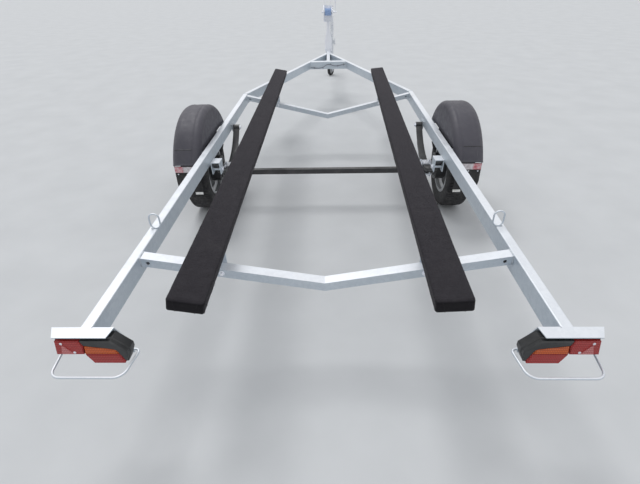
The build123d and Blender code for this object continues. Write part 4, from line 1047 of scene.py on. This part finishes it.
def winch():
    strap = Shell()
    rows = []
    steps = 40
    count = STRAP_TURNS * steps
    thick = (STRAP_OUT - STRAP_IN) / STRAP_TURNS
    section = ((-STRAP_HALF, 0.0), (-STRAP_HALF, thick * 0.72), (0, thick * 0.80),
               (STRAP_HALF, thick * 0.72), (STRAP_HALF, 0.0), (0, 0))
    for k in range(count + 1):
        a = 2 * pi * k / steps
        r = STRAP_IN + (STRAP_OUT - STRAP_IN - thick) * k / count
        shift = 0.0007 * noise.noise(Vector((k / steps * 1.7, 0, 3)))
        rows.append([at(x + shift, WINCH_S + (r + dr) * cos(a), WINCH_Z + (r + dr) * sin(a))
                     for x, dr in section])
    strap.grid(rows, around=True)
    strap.face(rows[0])
    strap.face(rows[-1])
    # Sewn end of the strap on the coil's outside
    for x in (-0.030, -0.010, 0.010, 0.030):
        path = []
        for k in range(12):
            a = 2 * pi * STRAP_TURNS - 0.12 - 0.55 * k / 11
            wave = 0.0022 * (-1) ** k
            path.append(at(x + wave, WINCH_S + 0.0437 * cos(a), WINCH_Z + 0.0437 * sin(a)))
        strap.tube(path, 0.0006, 5)
    strap.build("strap_coil", [WEB], "winch_reel", ["winch_strap"])

    ratchet = Shell()
    teeth = []
    for k in range(18):
        a = 2 * pi * k / 18
        teeth.append((0.0330 * cos(a), 0.0330 * sin(a)))
        teeth.append((0.0275 * cos(a + 0.10), 0.0275 * sin(a + 0.10)))
    ratchet.slab(teeth, spot(at(0.0562, WINCH_S, WINCH_Z), (1, 0, 0)), 0.006, 0.0008)
    ratchet.turned([(0, 0.0130), (0.014, 0.0130), (0.015, 0.0120), (0.015, 0.009)],
                   spot(at(0.0625, WINCH_S, WINCH_Z), (1, 0, 0)), 24)
    ratchet.bolt(spot(at(-0.0680, WINCH_S, WINCH_Z), (-1, 0, 0)), 0.014)
    ratchet.bolt(spot(at(0.098, WINCH_S, WINCH_Z), (1, 0, 0)), 0.012)
    ratchet.build("winch_ratchet", [BRIGHT], "winch_reel")
    grip = Shell()
    outline = [(0.0, 0.0140), (0.002, 0.0165), (0.008, 0.0172)]
    for k in range(9):
        z = 0.014 + 0.0078 * k
        outline += [(z, 0.0158), (z + 0.0012, 0.0148), (z + 0.0028, 0.0148), (z + 0.0040, 0.0158)]
    outline += [(0.086, 0.0168), (0.0905, 0.0155), (0.0912, 0.0135)]
    grip.turned(outline, spot(at(0.0985, WINCH_S, WINCH_Z + 0.190 - 0.013), (1, 0, 0)), 28)
    grip.build("winch_grip", [GRIP], "winch_reel")
    pawl = Shell()
    place = spot(at(0.0562, WINCH_S + 0.030, WINCH_Z + 0.046), (1, 0, 0))
    pawl.turned([(0, 0.007), (0.007, 0.007), (0.008, 0.006), (0.008, 0)], place, 18)
    pawl.tube([at(0.0600, WINCH_S + 0.030, WINCH_Z + 0.046), at(0.0600, WINCH_S + 0.012, WINCH_Z + 0.050),
               at(0.0600, WINCH_S - 0.006, WINCH_Z + 0.045)], [0.005, 0.0045, 0.003], 8)
    pawl.build("winch_pawl", [BRIGHT], "frame")


# ---------- jockey

JOCKEY_X = 0.020 + 0.008 + 0.024
JOCKEY_S = 6.430
JOCKEY_TRAIL = 0.046
JOCKEY_TURN = radians(28)


def jockey():
    grip = Shell()
    outline = [(0.0, 0.0125), (0.001, 0.0150), (0.010, 0.0158), (0.040, 0.0168), (0.068, 0.0158)]
    outline += [(0.076, 0.0140), (0.0795, 0.0100), (0.0800, 0.0)]
    grip.turned(outline, spot(at(JOCKEY_X, JOCKEY_S - 0.110, 0.9305), (0, 0, 1)), 28)
    grip.build("jockey_grip", [GRIP], "frame")
    collar = Shell()
    place = spot(at(JOCKEY_X, JOCKEY_S, 0.862), (0, 0, 1))
    outline = [(-0.012, 0.0242), (-0.012, 0.0262), (0.006, 0.0262), (0.0085, 0.0245), (0.0085, 0.010)]
    collar.turned(outline, place, 36)
    place = spot(at(JOCKEY_X, JOCKEY_S, 0.400), (0, 0, 1))
    collar.turned([(0.0, 0.0242), (0.0, 0.0258), (0.010, 0.0258), (0.012, 0.0242)], place, 36)
    clamp_x = JOCKEY_X + 0.046
    collar.tube([at(clamp_x, JOCKEY_S + 0.012, 0.490), at(clamp_x, JOCKEY_S + 0.030, 0.490)], 0.0055, 12)
    collar.tube([at(clamp_x, JOCKEY_S + 0.028, 0.548), at(clamp_x, JOCKEY_S + 0.028, 0.430)], 0.0042, 10)
    for z in (0.470, 0.510):
        collar.bolt(spot(at(clamp_x, JOCKEY_S - 0.009, z), (0, -1, 0)), 0.010)
    collar.build("jockey_collar", [ZINC], "frame")
    wheel = Shell()
    middle = at(JOCKEY_X - JOCKEY_TRAIL * sin(JOCKEY_TURN), JOCKEY_S - JOCKEY_TRAIL * cos(JOCKEY_TURN), 0.082)
    across = Vector((cos(JOCKEY_TURN), -sin(JOCKEY_TURN), 0))
    for way in (-1, 1):
        place = spot(middle + across * way * 0.0128, across * way)
        outline = [(0.0, 0.0550), (0.0015, 0.0530), (0.0015, 0.0400), (0.0050, 0.0330), (0.0123, 0.0262)]
        wheel.turned(outline + [(0.0124, 0.0090)], place, 40)
    wheel.build("jockey_hub", [RIM], "jockey_roller")
    nuts = Shell()
    for way in (-1, 1):
        nuts.bolt(spot(middle + across * way * 0.0352, across * way), 0.013)
    nuts.build("jockey_nuts", [ZINC], "jockey_castor")


# ---------- building

for name, side in SIDES.items():
    bunk(name, side)
    guard(name, side)
    flap(name, side)
    tyre(name, side)
    wheel_trim(name, side)
    lamp(name, side)
welds()
fasteners()
cable_clips()
winch()
jockey()


# ---------- stage

# Camera: focal length in pixels of a 640 wide picture, place from the rails' rear, angles in degrees
FOCAL = 423.7
EYE = (0.0295, -0.9547, 1.4526)
YAW = 1.9067
PITCH = 32.6592
ROLL = -1.4193
FLOOR_HALF = 60.0


def stage():
    look = Look("floor", Roughness=0.9)
    look.to("Base Color", look.spread(3, 4, (0.56, 0.57, 0.58), (0.60, 0.61, 0.62)))
    mesh = bpy.data.meshes.new("floor")
    corners = [(x * FLOOR_HALF, y * FLOOR_HALF, 0) for x, y in ((-1, -1), (1, -1), (1, 1), (-1, 1))]
    mesh.from_pydata(corners, [], [(0, 1, 2, 3)])
    mesh.materials.append(look.mat)
    floor = added("floor", mesh)

    world = bpy.data.worlds.new("studio")
    bpy.context.scene.world = world
    world.use_nodes = True
    tree = world.node_tree
    light = tree.nodes["Background"]
    light.inputs["Color"].default_value = (0.93, 0.96, 1.0, 1)
    light.inputs["Strength"].default_value = 0.62
    shown = tree.nodes.new("ShaderNodeBackground")
    shown.inputs["Color"].default_value = (1, 1, 1, 1)
    shown.inputs["Strength"].default_value = 0.95
    path = tree.nodes.new("ShaderNodeLightPath")
    seen = path.outputs["Is Camera Ray"]
    for ray in ("Is Glossy Ray", "Is Transmission Ray"):
        either = tree.nodes.new("ShaderNodeMath")
        either.operation = "MAXIMUM"
        tree.links.new(seen, either.inputs[0])
        tree.links.new(path.outputs[ray], either.inputs[1])
        seen = either.outputs[0]
    pick = tree.nodes.new("ShaderNodeMixShader")
    tree.links.new(seen, pick.inputs[0])
    tree.links.new(light.outputs[0], pick.inputs[1])
    tree.links.new(shown.outputs[0], pick.inputs[2])
    tree.links.new(pick.outputs[0], tree.nodes["World Output"].inputs["Surface"])

    for name, strength, wide, turn in (("key", 1.25, 26, (-24, -16, 0)), ("fill", 0.35, 60, (40, 25, 0))):
        data = bpy.data.lights.new(name, "SUN")
        data.energy = strength
        data.angle = radians(wide)
        added(name, data).rotation_euler = [radians(a) for a in turn]

    data = bpy.data.cameras.new("camera")
    data.sensor_width = 36.0
    data.lens = FOCAL / 640 * 36.0
    data.clip_end = 200.0
    camera = added("camera", data)
    camera.location = (EYE[0], REAR + EYE[1], EYE[2])
    turn = Matrix.Rotation(radians(YAW), 4, "Z") @ Matrix.Rotation(radians(90 - PITCH), 4, "X")
    camera.rotation_euler = (turn @ Matrix.Rotation(radians(ROLL), 4, "Z")).to_euler()
    bpy.context.scene.camera = camera
    bpy.context.scene.view_settings.view_transform = "Standard"


stage()
